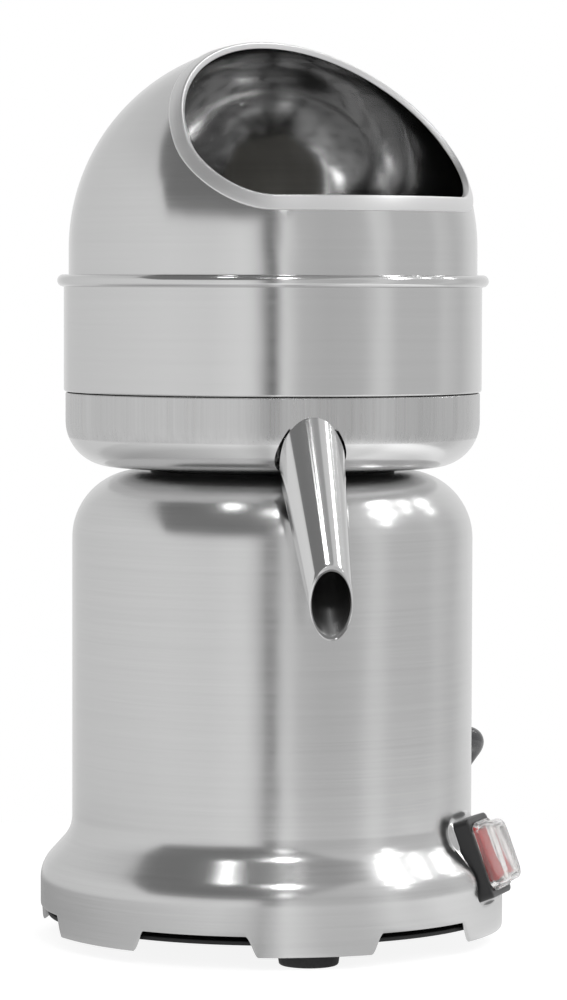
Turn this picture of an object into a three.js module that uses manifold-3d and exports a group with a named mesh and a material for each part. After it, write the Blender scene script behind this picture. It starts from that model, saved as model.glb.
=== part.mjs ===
// A commercial electric citrus juicer: a round steel motor base, a juice bowl with a spout, a strainer,
// a splash ring with a curled rim, and a domed hood with an opening for the hand and the fruit.
// Millimetres, +Z up. Bearings on the juicer are counted from its front, the spout (-Y), towards +X.
import * as THREE from 'three';
import { mergeVertices } from 'three/addons/utils/BufferGeometryUtils.js';
import Module from 'manifold-3d';

const wasm = await Module();
wasm.setup();

// The juicer's own vertical axis, seen from the centre of its footprint.
const AXIS_X = -0.7;
const AXIS_Y = 15.4;

const GAP = 0.3; // left between two pieces that touch
const SHEET = 1.5; // the base's steel
const THIN_SHEET = 1.2; // the bowl's, the ring's and the hood's steel
const ROUND = 32; // sides of the large round pieces
const SMALL = 12; // sides of shafts, screws and bearings
const FAR = 400; // longer than anything that a cutter has to cut

// Base
const SKIRT_R = 110;
const TAB_Z = 6;
const ARCH_Z = 15.5;
const TABS = 6;
const TAB_HALF_WIDTH = 14.8; // degrees
const SKIRT_TOP_Z = 28.5;
const FLARE_ANGLE = 42; // how far the flare leans from the vertical, in degrees
const FLARE_OUT_R = 17;
const FLARE_IN_R = 16.5;
const BODY_R = 95;
const SHOULDER_R = 32;
const TOP_Z = 222;
const SHAFT_HOLE_R = 15;

// Underside
const COVER_R = 106.5;
const COVER_Z = 11;
const COVER_T = 2;
const FOOT_R = 15;
const FOOT_AT = 91; // the feet's and the cover screws' distance from the axis
const LUG_HEIGHT = 8;
const SCREW_R = 2.4;

// Juice bowl and spout
const BOWL_R = 98.2;
const BOWL_Z = 224;
const BOWL_TOP_Z = 258.8;
const BOWL_CORNER_R = 21.5;
const CHIMNEY_R = 13.5;
const CHIMNEY_Z = 246;
const LEDGE_Z = 249.8;
const LEDGE_R = 92.5;
const SPOUT_ROOT = { r: 86, z: 238.8, radius: 16.4 };
const SPOUT_MOUTH = { r: 140.8, z: 166, radius: 9.8 };

// Strainer, splash ring and hood
const STRAINER_R = 94.2;
const STRAINER_RIM_Z = 257;
const STRAINER_HOLE_R = 18;
const SLOTS = 16;
const RING_R = 99;
const RING_Z = 259.2;
const NECK_R = 96.2;
const NECK_Z = 252.8;
const BEAD_R = 2.85;
const BEAD_Z = 311.6;
const HOOD_R = 96.7;
const HOOD_Z = 260.9;
const DOME_Z = 326.8; // the centre of the dome's sphere
const HOOD_BEARING = 24;
const OPENING_TILT = 42.5; // the opening's normal above the horizontal
const OPENING_AT = 61.1; // the opening's plane, from the dome's centre
const OPENING_HALF_WIDTH = 74.6;
const SILL_Z = 349.8;
const SILL_CORNER_R = 22;
const TRIM_WIDTH = 6.2;
const TRIM_T = 1.3;

// Drive
const SHAFT_R = 6;
const SHAFT_Z = 46;
const SHAFT_TOP_Z = 284;
const PIN_R = 1.5;
const PIN_Z = 266;
const STATOR_SIDE = 104;
const STATOR_Z = 112;
const STATOR_HEIGHT = 48;
const ROTOR_R = 30;
const BOLT_AT = 58;
const BOLT_R = 2.5;
const BRACKET_T = 6;
const UPPER_BRACKET_Z = 186;
const LOWER_BRACKET_Z = 78;
const BEARING_R = 13;
const BEARING_HEIGHT = 8;
const FAN_R = 44;
const FAN_Z = 54;
const FAN_BLADES = 7;

// Reamer
const HUB_Z = 258;
const HUB_R = 10.5;
const HUB_FLANGE_R = 30;
const HUB_TOP_Z = 290;
const CONE_Z = 262.4;
const CONE_R = 37;
const CONE_TIP_Z = 336;
const CONE_RIBS = 8;
const RIB_DEPTH = 0.14; // of the cone's own radius

// Switch
const SWITCH_BEARING = 60;
const SWITCH_AT = { r: 101.8, z: 41 };
const SWITCH_LEAN = 20;
const PAD = { width: 38, height: 46, depth: 16, corner: 5 };
const FRAME = { width: 32, height: 39, depth: 6.5, corner: 3 };
const WINDOW = { width: 22.5, height: 30 };
const ROCKER = { width: 20, height: 27, rise: 9.4, dip: 8, foot: 4.4, pivot: 2 };
const ROCKER_TILT = 7;
const SWITCH_DEPTH = 18; // how far the switch reaches behind its panel

// Power cord, in the juicer's own frame
const CORD_R = 3.5;
const EXIT_BEARING = 108.5;
const EXIT_Z = 88;
const BOOT_CORNER_R = 116.2; // how far out the strain relief turns
const BOOT_TAIL = 26; // its length past that turn
const COIL_CENTRE = [35.5, 174.4];
const COIL_INNER_R = 25;
const COIL_OUTER_R = 50;
const COIL_Z = 1;
const COIL_HEIGHT = 13.6;
const LEAD = [
  [103.7, 56.2, 70.0],
  [101.3, 63.3, 63.4],
  [96.6, 75.2, 51.2],
  [89.8, 86.6, 38.6],
  [81.4, 97.2, 26.6],
  [71.8, 106.8, 16.0],
  [62.0, 114.8, 8.6],
  [52.5, 121.2, 5.2],
  [44.0, 126.2, 4.5],
];
const TAIL = [
  [2.0, 140.6, 9.4],
  [-8.5, 146.8, 6.6],
  [-19.0, 153.4, 4.6],
  [-28.0, 161.4, 4.1],
  [-34.8, 171.0, 5.2],
  [-38.6, 181.0, 8.0],
  [-39.9, 188.5, 10.4],
  [-40.0, 193.0, 11.2],
];
const PLUG = { width: 27, height: 22, length: 24, boot: 22, blade: 17 };

// Finishes
const steel = () => finish(0xb9babb, 0.28, 1);
const polishedSteel = () => finish(0xc9cacc, 0.1, 1);
const laminations = () => finish(0x55575a, 0.5, 1);
const copper = () => finish(0xa5562c, 0.4, 1);
const alloy = () => finish(0x9a9c9e, 0.45, 1);
const blackRubber = () => finish(0x17181a, 0.75, 0);
const blackPlastic = () => finish(0x141516, 0.4, 0);
const whitePlastic = () => finish(0xe9e7df, 0.35, 0);
const redPlastic = () => finish(0xc4160f, 0.25, 0);
const clearPlastic = () => finish(0xd9dde0, 0.1, 0);

const juicer = new THREE.Group();
juicer.position.set(AXIS_X, AXIS_Y, 0);

buildBase();
buildUnderside();
buildMotor();
buildDrive();
buildBowl();
buildStrainer();
buildRing();
buildHood();
buildReamer();
buildSwitch();
buildCord();

// ---- Small helpers ----

function finish(color, roughness, metalness) {
  return new THREE.MeshStandardMaterial({ color, roughness, metalness });
}

function radians(degrees) {
  return THREE.MathUtils.degToRad(degrees);
}

// The point at a bearing, a distance from the axis and a height.
function at(bearing, r, z) {
  const a = radians(bearing);
  return new THREE.Vector3(r * Math.sin(a), -r * Math.cos(a), z);
}

function signedVolume(points, index) {
  const [a, b, c] = [new THREE.Vector3(), new THREE.Vector3(), new THREE.Vector3()];
  let sum = 0;
  for (let i = 0; i < index.length; i += 3) {
    a.fromArray(points, index[i] * 3);
    b.fromArray(points, index[i + 1] * 3);
    c.fromArray(points, index[i + 2] * 3);
    sum += a.dot(b.cross(c));
  }
  return sum;
}

// A geometry as a solid, with shared corners merged and its faces turned outwards.
function solid(geometry) {
  const bare = geometry.clone();
  bare.deleteAttribute('normal');
  bare.deleteAttribute('uv');
  const merged = mergeVertices(bare, 1e-4);
  const points = merged.attributes.position.array;
  const index = [];
  const all = merged.index.array;
  for (let i = 0; i < all.length; i += 3) {
    const [a, b, c] = [all[i], all[i + 1], all[i + 2]];
    if (a !== b && b !== c && c !== a) index.push(a, b, c);
  }
  if (signedVolume(points, index) < 0) index.reverse();
  const mesh = new wasm.Mesh({
    numProp: 3,
    vertProperties: new Float32Array(points),
    triVerts: new Uint32Array(index),
  });
  return new wasm.Manifold(mesh);
}

function fromSolid(manifold) {
  const mesh = manifold.getMesh();
  const geometry = new THREE.BufferGeometry();
  geometry.setAttribute('position', new THREE.BufferAttribute(mesh.vertProperties, 3));
  geometry.setIndex(new THREE.BufferAttribute(mesh.triVerts, 1));
  geometry.computeVertexNormals();
  return geometry;
}

// Names a piece and adds it to a group.
function add(name, shape, material, parent = juicer) {
  const manifold = shape.isBufferGeometry ? solid(shape) : shape;
  const mesh = new THREE.Mesh(fromSolid(manifold), material);
  mesh.name = name;
  parent.add(mesh);
  return mesh;
}

// A closed or axis-to-axis profile of [radius, height] points turned about Z.
function turned(profile, sides = ROUND) {
  const points = profile.map(([r, z]) => new THREE.Vector2(r, z));
  return new THREE.LatheGeometry(points, sides).rotateX(Math.PI / 2);
}

function turnedRing(inner, outer, z0, z1, sides = SMALL) {
  return turned([[inner, z0], [outer, z0], [outer, z1], [inner, z1], [inner, z0]], sides);
}

// Points on an arc from one angle to another, in degrees.
function arc(cx, cy, radius, from, to, steps) {
  const points = [];
  for (let i = 0; i <= steps; i++) {
    const a = radians(from + ((to - from) * i) / steps);
    points.push([cx + radius * Math.cos(a), cy + radius * Math.sin(a)]);
  }
  return points;
}

// An upright cylinder, standing on z.
function pillar(radius, z, height, x = 0, y = 0, sides = SMALL, topRadius = radius) {
  const shape = new THREE.CylinderGeometry(topRadius, radius, height, sides);
  return shape.rotateX(Math.PI / 2).translate(x, y, z + height / 2);
}

function block(width, depth, height, x = 0, y = 0, z = 0) {
  return new THREE.BoxGeometry(width, depth, height).translate(x, y, z + height / 2);
}

// A rectangle with round corners, centred, extruded upwards from z.
function roundedBlock(width, height, corner, z, depth) {
  const [w, h] = [width / 2 - corner, height / 2 - corner];
  const outline = [
    ...arc(w, h, corner, 0, 90, 3),
    ...arc(-w, h, corner, 90, 180, 3),
    ...arc(-w, -h, corner, 180, 270, 3),
    ...arc(w, -h, corner, 270, 360, 3),
  ];
  const shape = new THREE.Shape(outline.map(([x, y]) => new THREE.Vector2(x, y)));
  return new THREE.ExtrudeGeometry(shape, { depth, bevelEnabled: false }).translate(0, 0, z);
}

// A straight round bar from one point to another.
function bar(from, to, startRadius, endRadius, sides = SMALL) {
  const along = to.clone().sub(from);
  const shape = new THREE.CylinderGeometry(endRadius, startRadius, along.length(), sides);
  const turn = new THREE.Quaternion().setFromUnitVectors(
    new THREE.Vector3(0, 1, 0),
    along.clone().normalize(),
  );
  const middle = from.clone().add(to).multiplyScalar(0.5);
  return shape.applyQuaternion(turn).translate(middle.x, middle.y, middle.z);
}

// A round tube of constant radius along a curve.
function tube(curve, radius, sides, steps) {
  const section = new THREE.Shape();
  section.absarc(0, 0, radius, 0, 2 * Math.PI);
  const points = new THREE.Shape(section.getPoints(sides / 2).slice(0, -1));
  return new THREE.ExtrudeGeometry(points, { steps, curveSegments: 1, extrudePath: curve });
}

// A round tube along a curve, which narrows evenly from one radius to another.
function taperedTube(path, startRadius, endRadius, sides, steps) {
  const { normals, binormals } = path.computeFrenetFrames(steps);
  const points = [path.getPointAt(0), path.getPointAt(1)];
  const index = [];
  for (let i = 0; i <= steps; i++) {
    const radius = startRadius + ((endRadius - startRadius) * i) / steps;
    for (let k = 0; k < sides; k++) {
      const a = (2 * Math.PI * k) / sides;
      const p = path.getPointAt(i / steps).addScaledVector(normals[i], radius * Math.cos(a));
      points.push(p.addScaledVector(binormals[i], radius * Math.sin(a)));
      const [here, beside] = [2 + i * sides + k, 2 + i * sides + ((k + 1) % sides)];
      if (i === 0) index.push(0, beside, here);
      if (i === steps) index.push(1, here, beside);
      if (i < steps) index.push(here, beside, here + sides, beside, beside + sides, here + sides);
    }
  }
  return new THREE.BufferGeometry().setFromPoints(points).setIndex(index);
}

function turnAboutAxis(shape, bearing) {
  return shape.rotateZ(radians(bearing));
}

// ---- Base ----

// The base's outline, drawn inwards by an inset.
function baseProfile(inset, bottom) {
  const lean = FLARE_ANGLE;
  const outR = FLARE_OUT_R - inset;
  const inR = FLARE_IN_R + inset;
  const sin = Math.sin(radians(lean));
  const cos = Math.cos(radians(lean));
  const run = SKIRT_R - BODY_R - (FLARE_OUT_R + FLARE_IN_R) * (1 - cos);
  const bodyZ = SKIRT_TOP_Z + (FLARE_OUT_R + FLARE_IN_R) * sin + (run * cos) / sin;
  const shoulderAt = BODY_R - SHOULDER_R;
  return [
    [0, bottom],
    [SKIRT_R - inset, bottom],
    ...arc(SKIRT_R - FLARE_OUT_R, SKIRT_TOP_Z, outR, 0, lean, 3),
    ...arc(BODY_R + FLARE_IN_R, bodyZ, inR, 180 + lean, 180, 3),
    ...arc(shoulderAt, TOP_Z - SHOULDER_R, SHOULDER_R - inset, 0, 90, 5),
    [0, TOP_Z - inset],
  ];
}

// The gap between two tabs: an arch with slanting sides through the skirt.
function archCutter(bearing) {
  const half = 180 / TABS - TAB_HALF_WIDTH;
  const width = 2 * SKIRT_R * Math.sin(radians(half));
  const slant = (ARCH_Z - TAB_Z) / 2.5;
  const outline = [
    [-width / 2 - slant, 0],
    [width / 2 + slant, 0],
    [width / 2 - slant, ARCH_Z],
    [slant - width / 2, ARCH_Z],
  ];
  const shape = new THREE.Shape(outline.map(([x, y]) => new THREE.Vector2(x, y)));
  const cut = new THREE.ExtrudeGeometry(shape, { depth: SKIRT_R, bevelEnabled: false });
  return turnAboutAxis(cut.rotateX(Math.PI / 2).translate(0, -SKIRT_R / 2, 0), bearing);
}

// A block inside a tab, which takes the screw of a foot or of the bottom cover.
function lug(bearing) {
  const inner = FOOT_AT - 7;
  const length = SKIRT_R - SHEET / 2 - inner - 1;
  const z = COVER_Z + COVER_T + GAP;
  return turnAboutAxis(block(14, length, LUG_HEIGHT, 0, -inner - length / 2, z), bearing);
}

function tabBearings() {
  return Array.from({ length: TABS }, (_, i) => (i * 360) / TABS);
}

// The tabs that take a screw: all but the one below the switch.
function screwBearings() {
  return tabBearings().filter((bearing) => bearing !== SWITCH_BEARING);
}

// Sets a shape that was drawn on the switch's panel, with +Z out of it, onto the base.
function switchPlace() {
  const out = at(SWITCH_BEARING, 1, 0);
  const side = at(SWITCH_BEARING + 90, 1, 0);
  const up = new THREE.Vector3(0, 0, 1);
  const lean = radians(SWITCH_LEAN);
  const normal = out.clone().multiplyScalar(Math.cos(lean)).addScaledVector(up, Math.sin(lean));
  const slope = out.clone().multiplyScalar(-Math.sin(lean)).addScaledVector(up, Math.cos(lean));
  const place = new THREE.Matrix4().makeBasis(side, slope, normal);
  return place.setPosition(at(SWITCH_BEARING, SWITCH_AT.r, SWITCH_AT.z));
}

// A flat panel is pressed into the flare: it stands proud where the flare curves in, and is let in
// where the skirt's edge curves out.
function pressPanel(shell, inset) {
  const { width, height, corner, depth } = PAD;
  const place = switchPlace();
  const behind = roundedBlock(width - 2 * inset, height - 2 * inset, corner - inset, -depth, depth - inset);
  const front = roundedBlock(width + 2 * inset, height + 2 * inset, corner + inset, -inset, depth);
  return shell.add(solid(behind.applyMatrix4(place))).subtract(solid(front.applyMatrix4(place)));
}

function buildBase() {
  const place = switchPlace();
  const hole = roundedBlock(FRAME.width - 5, FRAME.height - 5, 0.4, -5, 10);
  const inside = pressPanel(solid(turned(baseProfile(SHEET, -1))), SHEET);
  let housing = pressPanel(solid(turned(baseProfile(0, TAB_Z))), 0).subtract(inside);
  housing = housing.subtract(solid(hole.applyMatrix4(place)));
  housing = housing.subtract(solid(pillar(SHAFT_HOLE_R, TOP_Z - 10, 20, 0, 0, 24)));
  for (const bearing of tabBearings()) {
    housing = housing.subtract(solid(archCutter(bearing + 180 / TABS)));
  }
  for (const bearing of screwBearings()) {
    housing = housing.add(solid(lug(bearing)));
    const { x, y } = at(bearing, FOOT_AT, 0);
    housing = housing.subtract(solid(pillar(SCREW_R + GAP, COVER_Z, LUG_HEIGHT + 6, x, y, 12)));
  }
  const exit = bar(at(EXIT_BEARING, 80, EXIT_Z), at(EXIT_BEARING, 100, EXIT_Z), 7.3, 7.3);
  add('base_housing', housing.subtract(solid(exit)), steel());
}

// ---- Underside ----

function buildUnderside() {
  let cover = solid(turned([[0, COVER_Z], [COVER_R, COVER_Z], [COVER_R, COVER_Z + COVER_T],
    [0, COVER_Z + COVER_T]]));
  for (const bearing of screwBearings()) {
    const { x, y } = at(bearing, FOOT_AT, 0);
    cover = cover.subtract(solid(pillar(SCREW_R + GAP, 0, 30, x, y, 12)));
  }
  for (const bearing of tabBearings()) {
    const vent = block(5, 34, 30, 0, -42, 0);
    cover = cover.subtract(solid(turnAboutAxis(vent, bearing)));
  }
  add('bottom_cover', cover, blackPlastic());

  let [feet, screws] = [0, 0];
  for (const bearing of screwBearings()) {
    const { x, y } = at(bearing, FOOT_AT, 0);
    if (bearing % (720 / TABS) === 0) {
      feet += 1;
      const foot = solid(pillar(FOOT_R - 1.5, 0, COVER_Z - GAP, x, y, 20, FOOT_R));
      const recess = solid(pillar(5.4, -1, 5, x, y));
      const bore = solid(pillar(SCREW_R + GAP, 0, 30, x, y, 12));
      add(`foot_${feet}`, foot.subtract(recess).subtract(bore), blackRubber());
      add(`foot_screw_${feet}`, screw(x, y, 1.2, 16), steel());
    } else {
      screws += 1;
      add(`cover_screw_${screws}`, screw(x, y, 8.2, 9.5), steel());
    }
  }
}

// A pan-head screw pointing up, with its head's underside at z + 2.5.
function screw(x, y, z, length) {
  const head = solid(pillar(3.6, z, 2.5, x, y, 12, 4.6));
  const slot = solid(block(6, 1, 1.6, x, y, z - 0.6));
  return head.subtract(slot).add(solid(pillar(SCREW_R, z + 2, length, x, y, 12)));
}

// ---- Motor ----

function corners() {
  return [45, 135, 225, 315].map((bearing) => at(bearing, BOLT_AT, 0));
}

// A square plate with round corners and a bolt hole in each.
function motorPlate(side, z, height, bore) {
  let plate = solid(roundedBlock(side, side, 16, z, height));
  plate = plate.subtract(solid(pillar(bore, z - 1, height + 2, 0, 0, 24)));
  for (const { x, y } of corners()) {
    plate = plate.subtract(solid(pillar(BOLT_R + GAP, z - 1, height + 2, x, y, 8)));
  }
  return plate;
}

// An end bracket: a plate, the bearing's pocket, and four legs that reach the stator.
function bracket(z, legZ, legHeight, pocketZ) {
  let shape = motorPlate(STATOR_SIDE + 2, z, BRACKET_T, BEARING_R + GAP);
  const wall = turnedRing(BEARING_R + GAP, BEARING_R + 4, pocketZ, pocketZ + BEARING_HEIGHT + 2, 16);
  shape = shape.add(solid(wall));
  for (const { x, y } of corners()) {
    shape = shape.add(solid(pillar(6, legZ, legHeight, x, y, 8)));
    shape = shape.subtract(solid(pillar(BOLT_R + GAP, z - 60, 160, x, y, 8)));
  }
  return shape;
}

function buildMotor() {
  const statorTop = STATOR_Z + STATOR_HEIGHT;
  const lowerTop = LOWER_BRACKET_Z + BRACKET_T;
  add('motor_stator', motorPlate(STATOR_SIDE, STATOR_Z, STATOR_HEIGHT, ROTOR_R + 1), laminations());
  const upperLeg = UPPER_BRACKET_Z - statorTop - GAP + 1;
  const lowerLeg = STATOR_Z - GAP - lowerTop + 1;
  add('motor_upper_bracket', bracket(UPPER_BRACKET_Z, statorTop + GAP, upperLeg, 182), alloy());
  add('motor_lower_bracket', bracket(LOWER_BRACKET_Z, lowerTop - 1, lowerLeg, 76), alloy());
  add('upper_winding', winding(statorTop + GAP, 16), copper());
  add('lower_winding', winding(STATOR_Z - GAP - 16, 16), copper());
  add('upper_bearing', turnedRing(SHAFT_R + GAP, BEARING_R, 183, 191, 16), polishedSteel());
  add('lower_bearing', turnedRing(SHAFT_R + GAP, BEARING_R, 77, 85, 16), polishedSteel());
  corners().forEach(({ x, y }, i) => {
    const z = LOWER_BRACKET_Z - GAP;
    const head = solid(pillar(4.4, z - 4, 4, x, y, 6));
    const length = UPPER_BRACKET_Z + BRACKET_T + 3 - z;
    add(`motor_bolt_${i + 1}`, head.add(solid(pillar(BOLT_R, z - 1, length, x, y, 8))), steel());
  });
  for (let i = 0; i < 4; i++) {
    const { x, y } = at(i * 90, 44, 0);
    const z = UPPER_BRACKET_Z + BRACKET_T + GAP;
    add(`motor_standoff_${i + 1}`, pillar(5.5, z, TOP_Z - SHEET - GAP - z, x, y, 6), alloy());
  }
  const { x, y } = at(215, 72, 0);
  add('run_capacitor', pillar(15, 14, 56, x, y, 20), whitePlastic());
  const terminals = block(34, 18, 17, 0, 0, COVER_Z + COVER_T + GAP);
  const place = at(95, 70, 0);
  terminals.rotateZ(radians(95 + 90)).translate(place.x, place.y, 0);
  add('terminal_block', terminals, whitePlastic());
  const seal = turned([[SHAFT_R + GAP, 217], [11, 217], [SHAFT_HOLE_R - GAP, 219],
    [SHAFT_HOLE_R - GAP, TOP_Z + GAP], [18, TOP_Z + GAP], [12, TOP_Z + 1.5],
    [SHAFT_R + GAP, TOP_Z + 4], [SHAFT_R + GAP, 217]], 20);
  add('shaft_seal', seal, blackRubber());
}

function winding(z, height) {
  return turned([[34, z], [49, z], [50, z + height / 2], [46, z + height], [37, z + height],
    [33, z + height / 2], [34, z]], 20);
}

// ---- Shaft, rotor and fan ----

function buildDrive() {
  let shaft = solid(pillar(SHAFT_R, SHAFT_Z, SHAFT_TOP_Z - SHAFT_Z, 0, 0, 20));
  const pin = bar(new THREE.Vector3(-9, 0, PIN_Z), new THREE.Vector3(9, 0, PIN_Z), PIN_R, PIN_R, 12);
  const pinHole = bar(new THREE.Vector3(-9, 0, PIN_Z), new THREE.Vector3(9, 0, PIN_Z),
    PIN_R + GAP, PIN_R + GAP, 12);
  shaft = shaft.subtract(solid(pinHole));
  add('drive_shaft', shaft, polishedSteel());
  add('drive_pin', pin, polishedSteel());
  const core = turnedRing(SHAFT_R + GAP, ROTOR_R, STATOR_Z + 1, STATOR_Z + STATOR_HEIGHT - 1, 20);
  add('motor_rotor', core, laminations());
  let fan = solid(turnedRing(SHAFT_R + GAP, 13, FAN_Z, FAN_Z + 12, 20));
  for (let i = 0; i < FAN_BLADES; i++) {
    const blade = block(2, FAN_R - 11, 11, 0, 0, 0).rotateY(radians(32));
    blade.translate(0, -(FAN_R + 11) / 2, FAN_Z + 0.6);
    fan = fan.add(solid(turnAboutAxis(blade, (i * 360) / FAN_BLADES)));
  }
  add('cooling_fan', fan, blackPlastic());
}

// ---- Juice bowl and spout ----

function bowlOutside(inset) {
  const corner = BOWL_R - BOWL_CORNER_R;
  return arc(corner, BOWL_Z + BOWL_CORNER_R, BOWL_CORNER_R - inset, -90, 0, 4);
}

function bowlProfile() {
  const wall = BOWL_R - THIN_SHEET;
  const floor = BOWL_Z + THIN_SHEET;
  const tube = CHIMNEY_R - THIN_SHEET;
  return [
    [tube, BOWL_Z],
    ...bowlOutside(0),
    [BOWL_R, BOWL_TOP_Z - 0.4],
    [BOWL_R - 0.4, BOWL_TOP_Z],
    [wall, BOWL_TOP_Z],
    [wall, LEDGE_Z],
    [LEDGE_R, LEDGE_Z],
    [LEDGE_R, LEDGE_Z - THIN_SHEET],
    [wall, LEDGE_Z - THIN_SHEET],
    ...bowlOutside(THIN_SHEET).reverse(),
    [CHIMNEY_R, floor],
    [CHIMNEY_R, CHIMNEY_Z],
    [tube, CHIMNEY_Z],
    [tube, BOWL_Z],
  ];
}

// The spout's tapered body, thinner by an inset and longer than the spout by that much at both ends.
function spoutBody(inset) {
  const from = at(0, SPOUT_ROOT.r, SPOUT_ROOT.z);
  const to = at(0, SPOUT_MOUTH.r, SPOUT_MOUTH.z);
  const along = to.clone().sub(from).normalize();
  const reach = 20;
  const taper = (SPOUT_ROOT.radius - SPOUT_MOUTH.radius) / to.distanceTo(from);
  const end = to.addScaledVector(along, reach);
  return solid(bar(from, end, SPOUT_ROOT.radius - inset, SPOUT_MOUTH.radius - inset - reach * taper, 24));
}

function buildBowl() {
  const bore = spoutBody(THIN_SHEET);
  const bowl = solid(turned(bowlProfile())).subtract(bore);
  add('juice_bowl', bowl, steel());
  const clear = [
    [0, BOWL_Z - 2 * GAP],
    ...arc(BOWL_R - BOWL_CORNER_R, BOWL_Z + BOWL_CORNER_R, BOWL_CORNER_R + GAP, -90, 0, 4),
    [BOWL_R + GAP, BOWL_TOP_Z + 5],
    [0, BOWL_TOP_Z + 5],
  ];
  const beyond = block(FAR, FAR, FAR, 0, -SPOUT_MOUTH.r - FAR / 2, 0);
  let spout = spoutBody(0).subtract(bore).subtract(solid(turned(clear)));
  spout = spout.subtract(solid(beyond));
  add('spout', spout, polishedSteel());
  const seat = turnedRing(50, 58, TOP_Z + GAP, BOWL_Z - GAP, ROUND);
  add('bowl_seat_ring', seat, blackRubber());
}

// ---- Strainer ----

function buildStrainer() {
  const z = LEDGE_Z + GAP;
  const top = z + THIN_SHEET;
  const wall = STRAINER_R - THIN_SHEET;
  const lip = STRAINER_HOLE_R + THIN_SHEET;
  let strainer = solid(turned([
    [STRAINER_HOLE_R, z], [STRAINER_R, z], [STRAINER_R, STRAINER_RIM_Z], [wall, STRAINER_RIM_Z],
    [wall, top], [lip, top], [lip, top + 4], [STRAINER_HOLE_R, top + 4], [STRAINER_HOLE_R, z],
  ]));
  for (let i = 0; i < SLOTS; i++) {
    const slot = block(3, 36, 8, 0, -60, z - 3);
    strainer = strainer.subtract(solid(turnAboutAxis(slot, (i * 360) / SLOTS)));
  }
  add('strainer', strainer, steel());
}

// ---- Splash ring ----

function buildRing() {
  const inner = RING_R - THIN_SHEET;
  const beadAt = RING_R + 0.25;
  add('splash_ring', turned([
    [NECK_R, NECK_Z],
    [NECK_R, RING_Z],
    [RING_R - 1.2, RING_Z],
    [RING_R, RING_Z + 1.2],
    [RING_R, BEAD_Z - BEAD_R],
    ...arc(beadAt, BEAD_Z, BEAD_R, -60, 120, 6),
    [inner, BEAD_Z - 1],
    [inner, RING_Z + 1.4],
    [NECK_R - 1, RING_Z + 1],
    [NECK_R - 1, NECK_Z],
    [NECK_R, NECK_Z],
  ]), steel());
}

// ---- Hood ----

function domeProfile(radius, bottom) {
  return [[0, bottom], [radius, bottom], ...arc(0, DOME_Z, radius, 0, 90, 8)];
}

// What the opening takes away: all beyond a slanting plane and above a sill with round corners.
function openingCutter(grow) {
  const plane = block(FAR, FAR, FAR, 0, 0, 0);
  plane.rotateX(radians(90 - OPENING_TILT));
  const n = new THREE.Vector3(0, -Math.cos(radians(OPENING_TILT)), Math.sin(radians(OPENING_TILT)));
  const shift = n.multiplyScalar(OPENING_AT - grow);
  plane.translate(shift.x, shift.y, shift.z + DOME_Z);
  const w = OPENING_HALF_WIDTH + grow;
  const corner = SILL_CORNER_R + grow;
  const sill = SILL_Z - grow;
  const outline = [
    ...arc(corner - w, sill + corner, corner, 180, 270, 4),
    ...arc(w - corner, sill + corner, corner, 270, 360, 4),
    [w, DOME_Z + 2 * HOOD_R],
    [-w, DOME_Z + 2 * HOOD_R],
  ];
  const shape = new THREE.Shape(outline.map(([x, z]) => new THREE.Vector2(x, z)));
  const prism = new THREE.ExtrudeGeometry(shape, { depth: FAR, bevelEnabled: false });
  prism.rotateX(Math.PI / 2).translate(0, FAR / 4, 0);
  return solid(plane).intersect(solid(prism));
}

function buildHood() {
  const cut = openingCutter(0);
  const outside = solid(turned(domeProfile(HOOD_R, HOOD_Z)));
  const inside = solid(turned(domeProfile(HOOD_R - THIN_SHEET, HOOD_Z - 1)));
  const hood = add('hood', outside.subtract(inside).subtract(cut), steel());
  const trimIn = HOOD_R + GAP;
  const skin = solid(turned(domeProfile(trimIn + TRIM_T, HOOD_Z)));
  const band = openingCutter(TRIM_WIDTH).subtract(cut);
  const trimShape = skin.subtract(solid(turned(domeProfile(trimIn, HOOD_Z - 1)))).intersect(band);
  const trim = add('hood_opening_trim', trimShape, polishedSteel());
  for (const mesh of [hood, trim]) mesh.rotation.z = radians(HOOD_BEARING);
}

// ---- Reamer ----

function buildReamer() {
  let hub = solid(turned([[0, HUB_Z], [HUB_FLANGE_R, HUB_Z], [HUB_FLANGE_R, HUB_Z + 2.5],
    [HUB_R + 1, HUB_Z + 4], [HUB_R, HUB_TOP_Z - 3], [HUB_R - 3, HUB_TOP_Z], [0, HUB_TOP_Z]], 24));
  hub = hub.subtract(solid(pillar(SHAFT_R + 2 * GAP, HUB_Z - 1, SHAFT_TOP_Z + 1.5 - HUB_Z, 0, 0, 20)));
  const slot = block(19, 2 * PIN_R + 1.2, PIN_Z + PIN_R + 0.8 - HUB_Z + 1, 0, 0, HUB_Z - 1);
  add('reamer_hub', hub.subtract(solid(slot)), whitePlastic());

  const height = CONE_TIP_Z - CONE_Z;
  const steps = 7;
  const profile = [[0, CONE_Z], [CONE_R, CONE_Z]];
  for (let i = 1; i < steps; i++) {
    const t = i / steps;
    profile.push([CONE_R * (1 - t ** 1.9) ** 0.8, CONE_Z + height * t]);
  }
  profile.push([0, CONE_TIP_Z]);
  const cone = turned(profile, 4 * CONE_RIBS);
  const place = cone.attributes.position;
  for (let i = 0; i < place.count; i++) {
    const bearing = Math.atan2(place.getY(i), place.getX(i));
    const shrink = 1 - RIB_DEPTH * (0.5 - 0.5 * Math.cos(CONE_RIBS * bearing)) ** 0.7;
    place.setX(i, place.getX(i) * shrink);
    place.setY(i, place.getY(i) * shrink);
  }
  const socket = pillar(HUB_R + 1 + GAP, CONE_Z - 1, HUB_TOP_Z + 2 - CONE_Z, 0, 0, 24);
  add('reamer_cone', solid(cone).subtract(solid(socket)), whitePlastic());
}

// ---- Switch ----

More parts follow.
